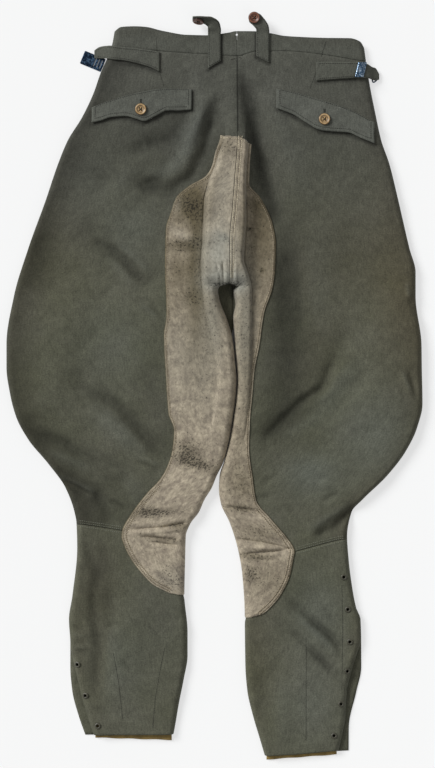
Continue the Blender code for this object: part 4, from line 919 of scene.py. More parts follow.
# Cotton tape: matt, tan and soiled in patches, with a soft crossed ripple every 6 mm for its weave
def make_tape(name, tan, brown):
    finish, shader = new_finish(name)
    uv = add_node(finish, "UVMap", {"uv_map": "cloth"}).outputs["UV"]
    colour, _ = mottled(finish, uv, {"Scale": 60.0, "Detail": 4.0}, 0.4, 0.65, tan, brown)
    warp = add_node(finish, "TexWave", {"Scale": 500 / 9, "Distortion": 0.4},
                    {"Vector": uv}).outputs["Fac"]
    weft = add_node(finish, "TexWave", {"bands_direction": "Y", "Scale": 500 / 9,
                                        "Distortion": 0.4}, {"Vector": uv}).outputs["Fac"]
    weave = add_node(finish, "Math", {"operation": "MAXIMUM"}, {0: warp, 1: weft}).outputs[0]
    bump = add_node(finish, "Bump", {"Strength": 0.5, "Distance": 0.0004}, {"Height": weave}).outputs[0]
    set_node(finish, shader, {"Roughness": 0.9, "Specular IOR Level": 0.25},
             {"Base Color": colour, "Normal": bump})
    return finish


TAPE = make_tape("cotton tape", "#9a8350", "#75633c")

for side in SIDES:
    hem_outer, hem_inner = SEAMS[side]["hem"]
    margin = INWARD[side] * (CLOTH + 3 * GAP)
    across = np.linspace(lacing_outline(side, hem_outer) + margin, inner_edge(side, hem_inner) - margin, 70)
    lower = np.linspace(hem_outer, hem_inner, 70) + np.linspace(*TAPE_SHOWING[side], 70)
    lower += RIPPLE * np.sin(across / RIPPLE_LENGTH) - RIPPLE
    downs = lower - TAPE_WIDTH * np.linspace(1, 0, 9)[:, None]
    tape = shell("cotton_hem_tape_" + side, to_world(across, downs, FRONT_TOP), TAPE_THICKNESS, TAPE)
    lay(tape, "hem_tape_" + side, "hem_tape", flat=(0.15, 0.022), area=0.0028,
        rests_on=["calf_front_" + side])


# Pocket flaps. Two layers of the band's wool over each hip pocket, sewn along the top and hanging loose
# below, with a pointed middle that buttons down.

FLAP_LIFT = 1.1
FLAP_CURL = 1.2
FLAP_PALE = 0.75
POCKET_FLAP = {
    "left": table("across top bottom", (-178, 116, 138), (-165, 110.5, 135.5), (-150, 106, 130.5),
                  (-130, 99.5, 129), (-113, 95, 133), (-103, 93, 136), (-87, 90, 129), (-69, 88.5, 120.5),
                  (-50, 89, 120), (-33, 90, 119)),
    "right": table("across top bottom", (89, 89, 117), (97, 90, 120), (113, 93.5, 126), (132, 98.5, 138),
                   (152, 104.5, 149), (170, 110, 151), (193, 118, 152.5), (213, 128, 161), (231, 138, 168)),
}


def flap_place(side, across, share):
    """Down values and lifts at shares of the way from a pocket flap's top to its lower edge."""
    top = curve(POCKET_FLAP[side], "top", across, key="across")
    bottom = curve(POCKET_FLAP[side], "bottom", across, key="across")
    return top + (bottom - top) * share, FLAP_LIFT + FLAP_CURL * share ** 2


for side in SIDES:
    ends = POCKET_FLAP[side]["across"]
    across = np.linspace(ends[0], ends[-1], 90) + np.zeros((22, 1))
    downs, lift = flap_place(side, across, np.linspace(0, 1, 22)[:, None])
    face, normal = on_cloth(side, across, downs)
    face = face + normal * (lift + 0 * across)[..., None]
    tints = spots(BAND_SPOTS, across, downs) + np.array([0, 0, FLAP_PALE])
    flap = shell("waistband_wool_pocket_flap_" + side, face, CLOTH, WAISTBAND, 0, tints, normal)
    lay(flap, "pocket_flap_" + side, "waistband_wool", flat=(0.155, 0.044), area=0.0048,
        rests_on=["back_" + side])


# Cinch straps. Doubled wool straps sewn on at the back and pulled through a buckle, to draw in the waist.

STRAP_THICKNESS = 2.4
SEWN_LIFT = 0.8
CINCH_STRAP = {
    "left": table("across top bottom height", (-174.5, 31.5, 43, 2), (-167, 27, 43.5, 4.2),
                  (-160, 26, 43.8, 7.5), (-153, 26, 45, 11.5), (-145, 26.5, 46.5, 13.5),
                  (-134, 28, 47.5, 13.8), (-120, 29, 50, 13.8), (-105, 31, 53.7, 13.8),
                  (-92, 32.5, 58, 13.8), (-80, 34.8, 63.8, 13.8)),
    "right": table("across top bottom height", (147, 49.5, 77, 14), (160, 49.5, 76, 14),
                   (174, 49.5, 75, 14), (188, 49.5, 74, 14), (204, 49.5, 73, 14.2),
                   (214, 50.5, 73, 14), (221, 53, 73, 12), (227, 56, 74, 7), (233, 57.5, 75.5, 4),
                   (238.5, 66, 74, 2.5)),
}
STRAP_LEAVES = {"left": (-134, -145), "right": (204, 214)}


def strap_base(side, across, downs):
    """Underside of a cinch strap: on the cloth, then a free curve where it comes down past the side."""
    base, normal = on_cloth(side, across, downs, SEWN_LIFT)
    free = smooth(0, 1, (across - STRAP_LEAVES[side][0]) / np.diff(STRAP_LEAVES[side]))[..., None]
    loose = to_world(across, downs, curve(CINCH_STRAP[side], "height", across, key="across"))
    return base + (loose - base) * free


for side in SIDES:
    ends = CINCH_STRAP[side]["across"]
    across = np.linspace(ends[0], ends[-1], 80) + np.zeros((20, 1))
    top = curve(CINCH_STRAP[side], "top", across, key="across")
    bottom = curve(CINCH_STRAP[side], "bottom", across, key="across")
    downs = top + (bottom - top) * np.linspace(0, 1, 20)[:, None]
    strap = shell("waistband_wool_cinch_strap_" + side, strap_base(side, across, downs), STRAP_THICKNESS,
                  WAISTBAND, 0, spots(BAND_SPOTS, across, downs))
    lay(strap, "cinch_strap_" + side, "waistband_wool", flat=(0.1, 0.026), area=0.0022,
        rests_on=["waistband_back_" + side])


# Brace tabs. Two doubled tabs sewn on at the back of the waist. Above it they stand free and curl, and each
# has a button for the braces near its end.

TAB_WIDTH = 18.8
TAB_THICKNESS = 2.0
TAB_LEAVES = 8.0
TAB_TAPER = 0.6
BRACE_TAB = {
    "left": dict(across=-0.5, ends=(59.5, 47.9), free=table(
        "across down height turn lean", (-0.5, 1, 14, 0, 0), (-2, -4, 16, 30, 20), (-7, -8.5, 16.5, 62, 48),
        (-14, -11, 16, 78, 66), (-23, -12.8, 15, 80, 74), (-32, -14.4, 14, 80, 76))),
    "right": dict(across=69.8, ends=(41.3, 51), free=table(
        "across down height turn lean", (69, 0.5, 14, 12, 0), (66.5, -4, 14.5, 24, 0),
        (62.5, -9, 14.5, 34, 4), (57.5, -14, 14, 38, 6), (54, -18, 13.5, 38, 8))),
}


def spline(knots, count):
    """Catmull-Rom curve through rows of points: Hermite pieces with central differences as tangents."""
    tangent = np.gradient(knots, axis=0)
    at = np.linspace(0, len(knots) - 1, count)
    i = np.minimum(at.astype(int), len(knots) - 2)
    t = (at - i).reshape(-1, *[1] * (knots.ndim - 1))
    return (knots[i] * (1 + 2 * t) * (1 - t) ** 2 + tangent[i] * t * (1 - t) ** 2
            + knots[i + 1] * t * t * (3 - 2 * t) - tangent[i + 1] * t * t * (1 - t))


def tab_frame(side):
    """Middle line, width vectors and outward vectors of a brace tab's free rows."""
    free = BRACE_TAB[side]["free"]
    turn, lean = np.radians(free["turn"])[:, None], np.radians(free["lean"])[:, None]
    zero = 0 * turn
    side_way = np.concatenate([np.cos(turn), np.sin(turn), zero], axis=1)
    up = np.array([0.0, 0.0, 1.0])
    middle = to_world(free["across"], free["down"], free["height"])
    return middle, side_way * np.cos(lean) + up * np.sin(lean), up * np.cos(lean) - side_way * np.sin(lean)


TAB_FACES = {}

for side in SIDES:
    tab = BRACE_TAB[side]
    share = np.linspace(0, 1, 13)
    low = tab["ends"][0] + (tab["ends"][1] - tab["ends"][0]) * share
    downs = low + (TAB_LEAVES - low) * np.linspace(0, 1, 7)[:, None]
    across = tab["across"] + TAB_WIDTH * (share - 0.5) + 0 * downs
    base, base_normal = on_cloth(side, across, downs, SEWN_LIFT)
    middle, width_way, outward = tab_frame(side)
    taper = np.array([1.0] * (len(middle) - 1) + [TAB_TAPER])[:, None]
    free = middle[:, None] + width_way[:, None] * (TAB_WIDTH * (share - 0.5) * taper)[..., None]
    normal = np.concatenate([base_normal, np.repeat(outward[:, None], len(share), axis=1)])
    face = spline(np.concatenate([base, free]), 80)
    normal = spline(normal, 80)
    normal /= np.linalg.norm(normal, axis=-1, keepdims=True)
    piece = shell("waistband_wool_brace_tab_" + side, face, TAB_THICKNESS, WAISTBAND, 0, None, normal)
    TAB_FACES[side] = face, normal
    lay(piece, "brace_tab_" + side, "waistband_wool", flat=(0.0188, 0.088), area=0.0015,
        rests_on=["waistband_back_" + side])


# Buttons. Turned with a thick rim and a dished middle, and four holes sewn through with thread. The pockets'
# are pale horn, the braces' reddish brown composition.

BUTTON_RADIUS = 8.5
BUTTON_THICKNESS = 3.0
POCKET_BUTTON = {"left": (-107, 119), "right": (158.5, 133.5)}
TAB_BUTTON_ROW = {"left": 4, "right": 3}
BUTTON_PROFILE = table("radius height", (0, 0.55), (0.3, 0.56), (0.5, 0.60), (0.62, 0.75), (0.72, 0.93),
                       (0.8, 1.0), (0.88, 0.95), (0.95, 0.8), (1.0, 0.55), (0.99, 0.35), (0.93, 0.12),
                       (0.85, 0), (0, 0))
HOLE_PLACE = 1.7
HOLE_RADIUS = 0.95
HOLE_DEPTH = 1.1
THREAD_RISE = 0.9
FLAP_BUTTON_SHARE = 0.45


def frame_of(axis):
    """Two unit vectors square to an axis and to each other, the first as near to +X as it can be."""
    first = np.array([1.0, 0, 0]) - axis * axis[0]
    first /= np.linalg.norm(first)
    return first, np.cross(axis, first)


def turned_piece(name, profile, steps, place, axis, finish, wells=()):
    """Profile of (radius, height) rows screwed round an axis, closed on itself or at its middle points.
    Wells are (x, y, radius, depth) dips in the upper face, each a steep bell."""
    turn = np.linspace(0, 2 * np.pi, steps, endpoint=False)
    rows = len(profile)
    radius, height = np.array(profile, float).T
    x, y = radius[:, None] * np.cos(turn), radius[:, None] * np.sin(turn)
    z = height[:, None] + 0 * x
    for u, v, wide, deep in wells:
        z = z - deep * np.exp(-(((x - u) ** 2 + (y - v) ** 2) / wide ** 2) ** 2) * (height[:, None] > 0.3)
    first, second = frame_of(axis)
    points = place + x[..., None] * first + y[..., None] * second + z[..., None] * axis
    index = np.arange(rows * steps).reshape(rows, steps)
    following = np.roll(index, -1, axis=1)
    faces = np.stack([index[:-1], following[:-1], following[1:], index[1:]], -1).reshape(-1, 4)
    piece = new_piece(name, points.reshape(-1, 3) * 0.001, faces, finish)
    tidy = bmesh.new()
    tidy.from_mesh(piece.data)
    bmesh.ops.remove_doubles(tidy, verts=tidy.verts, dist=1e-6)
    bmesh.ops.recalc_face_normals(tidy, faces=tidy.faces)
    tidy.to_mesh(piece.data)
    tidy.free()
    return piece


def seat(side, across, down, radius, lift=0.0, outline=side_outline):
    """Centre and axis of a disc that clears the cloth all round by a lift and the usual gap."""
    turn = np.linspace(0, 2 * np.pi, 13)[:-1]
    ring_across = across + radius * np.cos(turn)
    ring, normals = on_cloth(side, ring_across, down + radius * np.sin(turn), 0, outline)
    centre, _ = on_cloth(side, across, down, 0, outline)
    axis = normals.mean(axis=0)
    axis /= np.linalg.norm(axis)
    return centre + axis * (max(((ring - centre) @ axis).max(), 0) + GAP + lift), axis


# Horn and composition: smooth, slightly translucent plastics to the eye, cloudy, darker at the rim and in the
# dish where dirt has stayed
def make_button(name, middle, cloud, rim, roughness):
    finish, shader = new_finish(name)
    place = add_node(finish, "TexCoord").outputs["Object"]
    colour, _ = mottled(finish, place, {"Scale": 260.0, "Detail": 4.0}, 0.4, 0.65, middle, cloud)
    soil = add_node(finish, "Attribute", {"attribute_name": "tint"}).outputs["Fac"]
    colour = add_node(finish, "Mix", {"data_type": "RGBA", 7: linear(rim)}, {0: soil, 6: colour}).outputs[2]
    set_node(finish, shader, {"Roughness": roughness}, {"Base Color": colour})
    return finish


HORN = make_button("pale horn", "#bfa276", "#987a50", "#3c2a1a", 0.42)
BROWN = make_button("reddish brown composition", "#6e4434", "#85563f", "#24150f", 0.38)
THREAD_LOOPS = []


def add_button(name, node, place, axis, finish):
    """One button, its four thread holes as wells, and the paths of the thread across it."""
    rows = np.arange(len(BUTTON_PROFILE["radius"]))
    even = np.linspace(0, rows[-1], 60)
    radius = np.interp(even, rows, BUTTON_PROFILE["radius"] * BUTTON_RADIUS)
    height = np.interp(even, rows, BUTTON_PROFILE["height"] * BUTTON_THICKNESS)
    profile = np.stack([radius, height], -1)
    holes = [(x, y, HOLE_RADIUS, HOLE_DEPTH) for x in (-HOLE_PLACE, HOLE_PLACE)
             for y in (-HOLE_PLACE, HOLE_PLACE)]
    button = turned_piece(name, profile, 56, place, axis, finish, holes)
    points = np.empty(len(button.data.vertices) * 3)
    button.data.vertices.foreach_get("co", points)
    away = points.reshape(-1, 3) * 1000 - place
    out = np.linalg.norm(away - (away @ axis)[:, None] * axis, axis=1) / BUTTON_RADIUS
    # Soil at the rim, in the dish and round the thread holes
    soil = np.clip(0.9 * smooth(0.82, 0.97, out) + 0.7 * np.exp(-((out - 0.56) / 0.13) ** 2), 0, 1)
    first, second = frame_of(axis)
    for x, y, wide, _ in holes:
        near = np.hypot(away @ first - x, away @ second - y)
        soil = np.maximum(soil, 1 - smooth(wide * 0.7, wide * 1.3, near))
    layer = button.data.color_attributes.new("tint", "FLOAT_COLOR", "POINT")
    layer.data.foreach_set("color", np.repeat(soil, 4))
    stand_for(node)
    for x, y, _, _ in holes[:2]:
        loop = np.linspace(-1, 1, 9)[:, None]
        height = BUTTON_THICKNESS * 0.5 + THREAD_RISE * (1 - loop ** 4)
        THREAD_LOOPS.append(place + first * x * loop + second * y * loop + axis * height)


flap_top = FLAP_LIFT + FLAP_CURL * FLAP_BUTTON_SHARE + CLOTH
for side in SIDES:
    place, axis = seat(side, *POCKET_BUTTON[side], BUTTON_RADIUS, flap_top)
    add_button("horn_button_pocket_" + side, "pocket_button_" + side, place, axis, HORN)
    middle, _, outward = tab_frame(side)
    row = TAB_BUTTON_ROW[side]
    add_button("brown_button_brace_" + side, "brace_button_" + side,
               middle[row] + outward[row] * (TAB_THICKNESS + 5 * GAP), outward[row], BROWN)


# Eyelets. Stamped rings painted brownish olive, pressed into the calf's edge and darkened round the hole.

EYELET_RADIUS = 4.6
EYELET_PROFILE = ((EYELET_HOLE, 0), (EYELET_HOLE, 0.6), (2.35, 0.95), (2.8, 1.15), (3.4, 1.05), (4.1, 0.75),
                  (EYELET_RADIUS, 0.35), (EYELET_RADIUS, 0.0), (EYELET_HOLE, 0))


# Paint on stamped metal: satin, chipped in spots a millimetre or less across to a darker metal
def make_paint(name, paint, worn):
    finish, shader = new_finish(name)
    place = add_node(finish, "TexCoord").outputs["Object"]
    colour, _ = mottled(finish, place, {"Scale": 700.0, "Detail": 3.0}, 0.5, 0.62, paint, worn)
    set_node(finish, shader, {"Roughness": 0.5}, {"Base Color": colour})
    return finish


PAINT = make_paint("painted eyelet", "#3d3c31", "#4d4a3a")

for side in SIDES:
    for number, (across, down) in enumerate(EYELETS[side], 1):
        place, axis = seat(side, across, down, EYELET_RADIUS, 0, lacing_outline)
        ring = turned_piece(f"painted_eyelet_{side}_{number}", EYELET_PROFILE, 32, place, axis, PAINT)
        stand_for(f"eyelet_{side}_{number}")


# Buckles. Left: a stamped cinch buckle lying on the surface, a plate at one end and bars at the other. Right:
# a slide plate across the strap with a rolled edge, and a loop of wire under the strap's end.

STEEL = 1.4
BUCKLE_LEFT = dict(place=(-177.2, 47.0), turn=math.radians(-22.4), sizes=(16.4, 10.0, 1.5, 3.1))
SLIDE_PLATE = table("along rise", (-7, 0.4), (-6.2, 1.9), (-5, 2.2), (-3.6, 1), (-1, 0.5), (2, 0.5),
                    (4.5, 0.5), (6.5, 0.6))
SLIDE_HALF_WIDTH = 11.0
SLIDE_PLACE = (211.5, 61.5)
SLIDE_LEAN = math.radians(13)
ROUNDING = 0.3
CORNER_CUT = 0.9
WIRE_RADIUS = 1.0
WIRE_CORNERS = ((228.5, 60.5), (234.5, 60.5), (237.0, 71.5), (230.0, 77.0))


# Blued steel: a metal with a dark blue oxide skin, worn bright in patches a few millimetres across
def make_steel(name, blue, bright):
    finish, shader = new_finish(name)
    place = add_node(finish, "TexCoord").outputs["Object"]
    colour, wear = mottled(finish, place, {"Scale": 420.0, "Detail": 4.0, "Roughness": 0.6}, 0.46, 0.68,
                           blue, bright)
    rough = add_node(finish, "MapRange", {1: 0.0, 2: 1.0, 3: 0.32, 4: 0.48}, {0: wear}).outputs[0]
    set_node(finish, shader, {"Metallic": 1.0}, {"Base Color": colour, "Roughness": rough})
    return finish


BLUED = make_steel("blued steel", "#1f2d40", "#5f7c99")
WORN_STEEL = make_steel("worn blued steel", "#46617c", "#b4c3d0")

# The left buckle is a flat curve with the plate and its slots as loops, filled and given its thickness
half_length, half_width, slot, bar = BUCKLE_LEFT["sizes"]
flat = bpy.data.curves.new("buckle_left_outline", "CURVE")
flat.dimensions = "2D"
flat.fill_mode = "BOTH"
flat.extrude = (STEEL / 2 - ROUNDING) * 0.001
flat.bevel_depth = ROUNDING * 0.001
flat.bevel_resolution = 2
flat.offset = -ROUNDING * 0.001
first_slot = half_length - 3 * (slot + bar)
rims = [(-half_length, half_length, half_width)]
rims += [(x, x + slot, half_width - bar) for x in first_slot + (slot + bar) * np.arange(3)]
for start, end, half in rims:
    loop = flat.splines.new("POLY")
    corners = np.array([(start, -half), (end, -half), (end, half), (start, half)])
    toward = np.roll(corners, -1, axis=0) - corners
    toward = toward / np.linalg.norm(toward, axis=1, keepdims=True)
    before = corners - np.roll(toward, 1, axis=0) * CORNER_CUT
    corners = np.stack([before, corners + toward * CORNER_CUT], axis=1).reshape(-1, 2)
    loop.points.add(len(corners) - 1)
    loop.use_cyclic_u = True
    c, s = math.cos(BUCKLE_LEFT["turn"]), math.sin(BUCKLE_LEFT["turn"])
    centre = to_world(*BUCKLE_LEFT["place"], 0)
    for point, (x, y) in zip(loop.points, corners):
        point.co = ((centre[0] + x * c - y * s) * 0.001, (centre[1] + x * s + y * c) * 0.001, 0, 1)
outline = bpy.data.objects.new("buckle_left_outline", flat)
bpy.context.scene.collection.objects.link(outline)
view = bpy.context.evaluated_depsgraph_get()
plate_mesh = bpy.data.meshes.new_from_object(outline.evaluated_get(view))
bpy.data.objects.remove(outline, do_unlink=True)
plate_points = np.empty(len(plate_mesh.vertices) * 3)
plate_mesh.vertices.foreach_get("co", plate_points)
plate_points[2::3] += STEEL / 2 * 0.001
plate_mesh.vertices.foreach_set("co", plate_points)
plate_mesh.materials.clear()
plate_mesh.materials.append(BLUED)
buckle = bpy.data.objects.new("blued_steel_buckle_left", plate_mesh)
bpy.context.scene.collection.objects.link(buckle)
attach(buckle, "root")
stand_for("buckle_left")

# The slide plate follows the strap's upper face and rises to its rolled edge
along = np.linspace(SLIDE_PLATE["along"][0], SLIDE_PLATE["along"][-1], 44)
beside = np.linspace(-SLIDE_HALF_WIDTH, SLIDE_HALF_WIDTH, 30)[:, None]
across = SLIDE_PLACE[0] + along * math.cos(SLIDE_LEAN) - beside * math.sin(SLIDE_LEAN)
downs = SLIDE_PLACE[1] + beside * math.cos(SLIDE_LEAN) + 0 * along
face = strap_base("right", across, downs)
face[..., 2] += STRAP_THICKNESS + curve(SLIDE_PLATE, "rise", along, key="along")
slide = shell("blued_steel_slide_plate", face, STEEL, WORN_STEEL, 0, None, np.array([0, 0, 1.0]) + 0 * face)
stand_for("buckle_right")


def tube(name, path, radius, finish, sides=12, closed=False):
    """Round wire along a path, as circles square to its tangent, open at its ends unless it is closed."""
    if closed:
        tangent = np.roll(path, -1, axis=0) - np.roll(path, 1, axis=0)
    else:
        tangent = np.gradient(path, axis=0)
    tangent /= np.linalg.norm(tangent, axis=1, keepdims=True)
    across_way = np.cross(tangent, [0, 0, 1.0])
    across_way /= np.linalg.norm(across_way, axis=1, keepdims=True)
    upward = np.cross(across_way, tangent)
    turn = np.linspace(0, 2 * np.pi, sides, endpoint=False)[:, None]
    circle = across_way[:, None] * np.cos(turn) + upward[:, None] * np.sin(turn)
    points = path[:, None] + radius * circle
    index = np.arange(len(path) * sides).reshape(len(path), sides)
    if closed:
        index = np.concatenate([index, index[:1]])
    beside = np.roll(index, -1, axis=1)
    faces = np.stack([index[:-1], beside[:-1], beside[1:], index[1:]], -1).reshape(-1, 4)
    return new_piece(name, points.reshape(-1, 3) * 0.001, faces[:, ::-1], finish)


corners = to_world(*np.array(WIRE_CORNERS).T, WIRE_RADIUS)
ring = spline(np.concatenate([corners[-1:], corners, corners[:2]]), 121)[24:-24]
wire = tube("blued_steel_wire_frame", ring[:-1], WIRE_RADIUS, BLUED, closed=True)
stand_for("buckle_frame_right")


# Sewing. Lockstitch rows: each stitch is a short round thread that dips into the cloth at both ends. The
# wool has dark thread, grey-green at the knee seams; the dark thread also paints the shade of its stitch
# grooves. The seat seam has cream rows beside a row of brown stitches that paints the shadow of its groove,
# and the suede's edges tan rows beside such rows of painted groove shadow.

STITCH_LENGTH = 2.4
STITCH_PITCH = 3.1
STITCH_RADIUS = 0.34
STITCH_ALONG = np.array([-0.5, -0.28, 0.28, 0.5])
STITCH_FAT = np.array([0.45, 1.0, 1.0, 0.45])
STITCH_RISE = np.array([-0.6, 0.35, 0.35, -0.6])


def stitches(name, paths, finish, length=STITCH_LENGTH, pitch=STITCH_PITCH, radius=STITCH_RADIUS):
    """One piece of many stitches along paths of (points, normals): each is four rings of six points."""
    middles, ways, ups = [], [], []
    for points, normals in paths:
        run = np.concatenate([[0], np.linalg.norm(np.diff(points, axis=0), axis=1).cumsum()])
        at = np.arange(pitch / 2, run[-1], pitch)
        wanted = ((at, points), (at - 0.5, points), (at + 0.5, points), (at, normals))
        place, start, end, up = (np.stack([np.interp(s, run, values[:, k]) for k in range(3)], -1)
                                 for s, values in wanted)
        middles.append(place)
        ways.append((end - start) / np.linalg.norm(end - start, axis=1, keepdims=True))
        ups.append(up / np.linalg.norm(up, axis=1, keepdims=True))
    middle, way, up = (np.concatenate(values)[:, None, None] for values in (middles, ways, ups))
    beside = np.cross(way, up)
    turn = np.linspace(0, 2 * np.pi, 6, endpoint=False)[None, None, :, None]
    along = (STITCH_ALONG * length)[None, :, None, None]
    fat = (STITCH_FAT * radius)[None, :, None, None]
    rise = (STITCH_RISE * radius)[None, :, None, None]
    points = middle + way * along + up * rise + fat * (beside * np.cos(turn) + up * np.sin(turn))
    index = np.arange(24).reshape(4, 6)
    nearby = np.roll(index, -1, axis=1)
    ring = np.stack([index[:-1], nearby[:-1], nearby[1:], index[1:]], -1).reshape(-1, 4)
    caps = np.stack([index[0, [3, 2, 1, 0]], index[0, [0, 5, 4, 3]],
                     index[3, :4], index[3, [3, 4, 5, 0]]])
    faces = np.concatenate([ring, caps]) + 24 * np.arange(len(middle))[:, None, None]
    thread = new_piece(name, points.reshape(-1, 3) * 0.001, faces.reshape(-1, 4), finish)
    return thread


def dense(line, step=1.0):
    """Points every step along straight lines between corners."""
    line = np.asarray(line, float)
    run = np.concatenate([[0], np.linalg.norm(np.diff(line, axis=0), axis=1).cumsum()])
    at = np.linspace(0, run[-1], max(int(run[-1] / step), 2))
    return np.stack([np.interp(at, run, line[:, k]) for k in range(line.shape[1])], -1)


def inset(line, distance):
    """A line moved to its left by a distance, seen with down pointing up the page."""
    way = np.gradient(line, axis=0)
    way /= np.linalg.norm(way, axis=1, keepdims=True)
    return line + distance * np.stack([-way[:, 1], way[:, 0]], -1)


def sewn(side, line, lift, outline=side_outline):
    """A path over the cloth for a row of stitches."""
    line = dense(line)
    return on_cloth(side, line[:, 0], line[:, 1], lift, outline)


def on_flap(side, across, share):
    """A path over a pocket flap, at shares of the way from its top to its lower edge."""
    downs, lift = flap_place(side, across, share)
    points, normals = on_cloth(side, across, downs)
    return points + normals * (lift + CLOTH)[:, None], normals


# Polyester and cotton threads: matt, in one colour with a slight change from stitch to stitch
def make_thread(name, thread, other):
    finish, shader = new_finish(name)
    place = add_node(finish, "TexCoord").outputs["Object"]
    colour, _ = mottled(finish, place, {"Scale": 330.0, "Detail": 2.0}, 0.4, 0.6, thread, other)
    set_node(finish, shader, {"Roughness": 0.8}, {"Base Color": colour})
    return finish


# Dark thread, drawn thick and dark so that it also paints the shade of the grooves it is sewn into
DARK_THREAD = make_thread("dark green thread", "#1f201b", "#2b2c25")
GREY_THREAD = make_thread("grey green thread", "#74766a", "#666858")
CREAM_THREAD = make_thread("cream thread", "#c6bca3", "#a3987f")
TAN_THREAD = make_thread("tan thread", "#aca089", "#857962")
# Brown thread sewn beside the tan and cream rows, dark so that it paints the shadow in their grooves
GROOVE_SHADOW_THREAD = make_thread("brown thread for painted groove shadow", "#4a402f", "#5f543f")

# Darts and seams sewn into the wool, as lines of corners, with the outline their cloth has
WOOL_SEAMS = (
    ("left", side_outline, ((-85.2, 12), (-83.5, 38))),
    ("left", side_outline, ((-83.2, 44), (-82.3, 56), (-73.6, 86))),
    ("right", side_outline, ((161, 20), (154.5, 41))),
    ("right", side_outline, ((152.5, 48), (138.1, 88))),
    ("left", lacing_outline, ((-72.9, 899), (-78.7, 929), (-86.2, 971), (-90, 1016))),
    ("left", lacing_outline, ((-146.8, 906), (-139.3, 948), (-133.5, 1002))),
    ("right", lacing_outline, ((132.3, 883), (132.3, 1034))),
    ("right", lacing_outline, ((184, 808), (185.5, 870), (184, 960))),
)
EDGE_ROWS_START = 168
KNEE_ROWS_START = 70
TOP_ROW = 163
LAST_ROW_MARGIN = 3.6
FLAP_MARGIN = 5.0
FLAP_TOP_SHARE = 0.035
FLAP_END_SHARE = 0.05
STRAP_MARGIN = 2.6
BAR_TACKS = (("left", ((22.8, 46.4), (29.2, 44.2))), ("right", ((34, 41.9), (38.5, 44))))
BUTTONHOLE = {"left": (-106.8, 104, 109.5), "right": (158.6, 118, 124)}

suede_top = GAP + SUEDE
cream = []
tan = []
groove_shadow_rows = []
dark = []
seams = []
knees = []
fine = []
for side, outline, line in WOOL_SEAMS:
    seams.append(sewn(side, line, 0, outline))
for side, line in BAR_TACKS:
    seams.append(sewn(side, line, 0.3))
for side in SIDES:
    way = INWARD[side]
    downs = np.linspace(160, strap_end(side) - 3, 900)
    edge = dense(np.stack([curve(STRAP_EDGE[side], "across", downs), downs], -1))
    # Two rows of tan stitches inside the suede's edge, each beside a brown row of painted groove shadow, the
    # inner pair only round the knee
    for distance, target in ((2.6, groove_shadow_rows), (3.6, tan), (6.2, groove_shadow_rows), (7.2, tan)):
        row = inset(edge, -distance * way)
        by_knee = row[:, 1] > SEAMS[side]["knee"][1] - KNEE_ROWS_START
        row = row[(row[:, 1] > EDGE_ROWS_START) & (by_knee | (distance < 5))]
        target.append(on_cloth(side, row[:, 0], row[:, 1], suede_top))
    # One row across the suede's top and one across its lower end
    for inner, end, target in ((TOP_ROW, -1, cream), (strap_end(side) - LAST_ROW_MARGIN, -9, tan)):
        rows = leg_rows(side, np.array([inner]))
        places = leg_columns(side, rows)[0, EDGE_COLUMN:]
        line = slanted(places, rows[0, EDGE_COLUMN:])
        target.append(sewn(side, np.stack([places[2:end], line[2:end]], -1), suede_top))
    # Three rows along the knee seam, as far as the suede
    knee = SEAMS[side]["knee"][1]
    for offset in (-5.5, -2.2, 2.6):
        rows = leg_rows(side, np.array([knee + offset]))
        places = leg_columns(side, rows)[0, 6:EDGE_COLUMN - 1]
        knees.append(sewn(side, np.stack([places, rows[0, 6:EDGE_COLUMN - 1]], -1), 0))
    # The two sides of the pocket flap's buttonhole
    middle, top, bottom = BUTTONHOLE[side]
    for beside in (-0.9, 0.9):
        downs = np.linspace(top, bottom, 12)
        start, full = (flap_place(side, middle, share)[0] for share in (0, 1))
        share = (downs - start) / (full - start)
        points, normals = on_cloth(side, middle + beside + 0 * downs, downs)
        fine.append((points + normals * (flap_place(side, middle, share)[1] + CLOTH)[:, None], normals))
    # Right of the seat seam, its two cream rows and a brown row between them, the painted shadow of the
    # groove
    if side == "right":
        seam_downs = np.linspace(158, 362, 240)
        for distance, target in ((1.9, cream), (4.4, groove_shadow_rows), (6.4, cream)):
            places = curve(SEAT_SEAM, "across", seam_downs) - way * distance
            target.append(on_cloth(side, places, seam_downs, suede_top))
    # Round the pocket flap: along its lower edge and its top, then down both ends
    ends = POCKET_FLAP[side]["across"]
    places = np.linspace(ends[0] + FLAP_MARGIN, ends[-1] - FLAP_MARGIN, 150)
    top, bottom = (flap_place(side, places, share)[0] for share in (0.0, 1.0))
    edge_share = 1 - FLAP_MARGIN / (bottom - top)
    for share in (edge_share, FLAP_TOP_SHARE + 0 * places):
        dark.append(on_flap(side, places, share))
    for end in (places[0], places[-1]):
        share = np.linspace(FLAP_END_SHARE, edge_share.min(), 30)
        dark.append(on_flap(side, end + 0 * share, share))
    # Along both edges of the cinch strap
    ends = CINCH_STRAP[side]["across"]
    places = np.linspace(ends[0] + 4, ends[-1] - 3, 120)
    for column, offset in (("top", STRAP_MARGIN), ("bottom", -STRAP_MARGIN)):
        downs = curve(CINCH_STRAP[side], column, places, key="across") + offset
        points = strap_base(side, places, downs) + np.array([0, 0, STRAP_THICKNESS])
        dark.append((points, np.array([0, 0, 1.0]) + 0 * points))
    # Along both edges of the brace tab and across its foot
    face, normal = TAB_FACES[side]
    for column in (1, -2):
        dark.append((face[2:-3, column] + normal[2:-3, column] * TAB_THICKNESS, normal[2:-3, column]))
    dark.append((face[2, 1:-1] + normal[2, 1:-1] * TAB_THICKNESS, normal[2, 1:-1]))

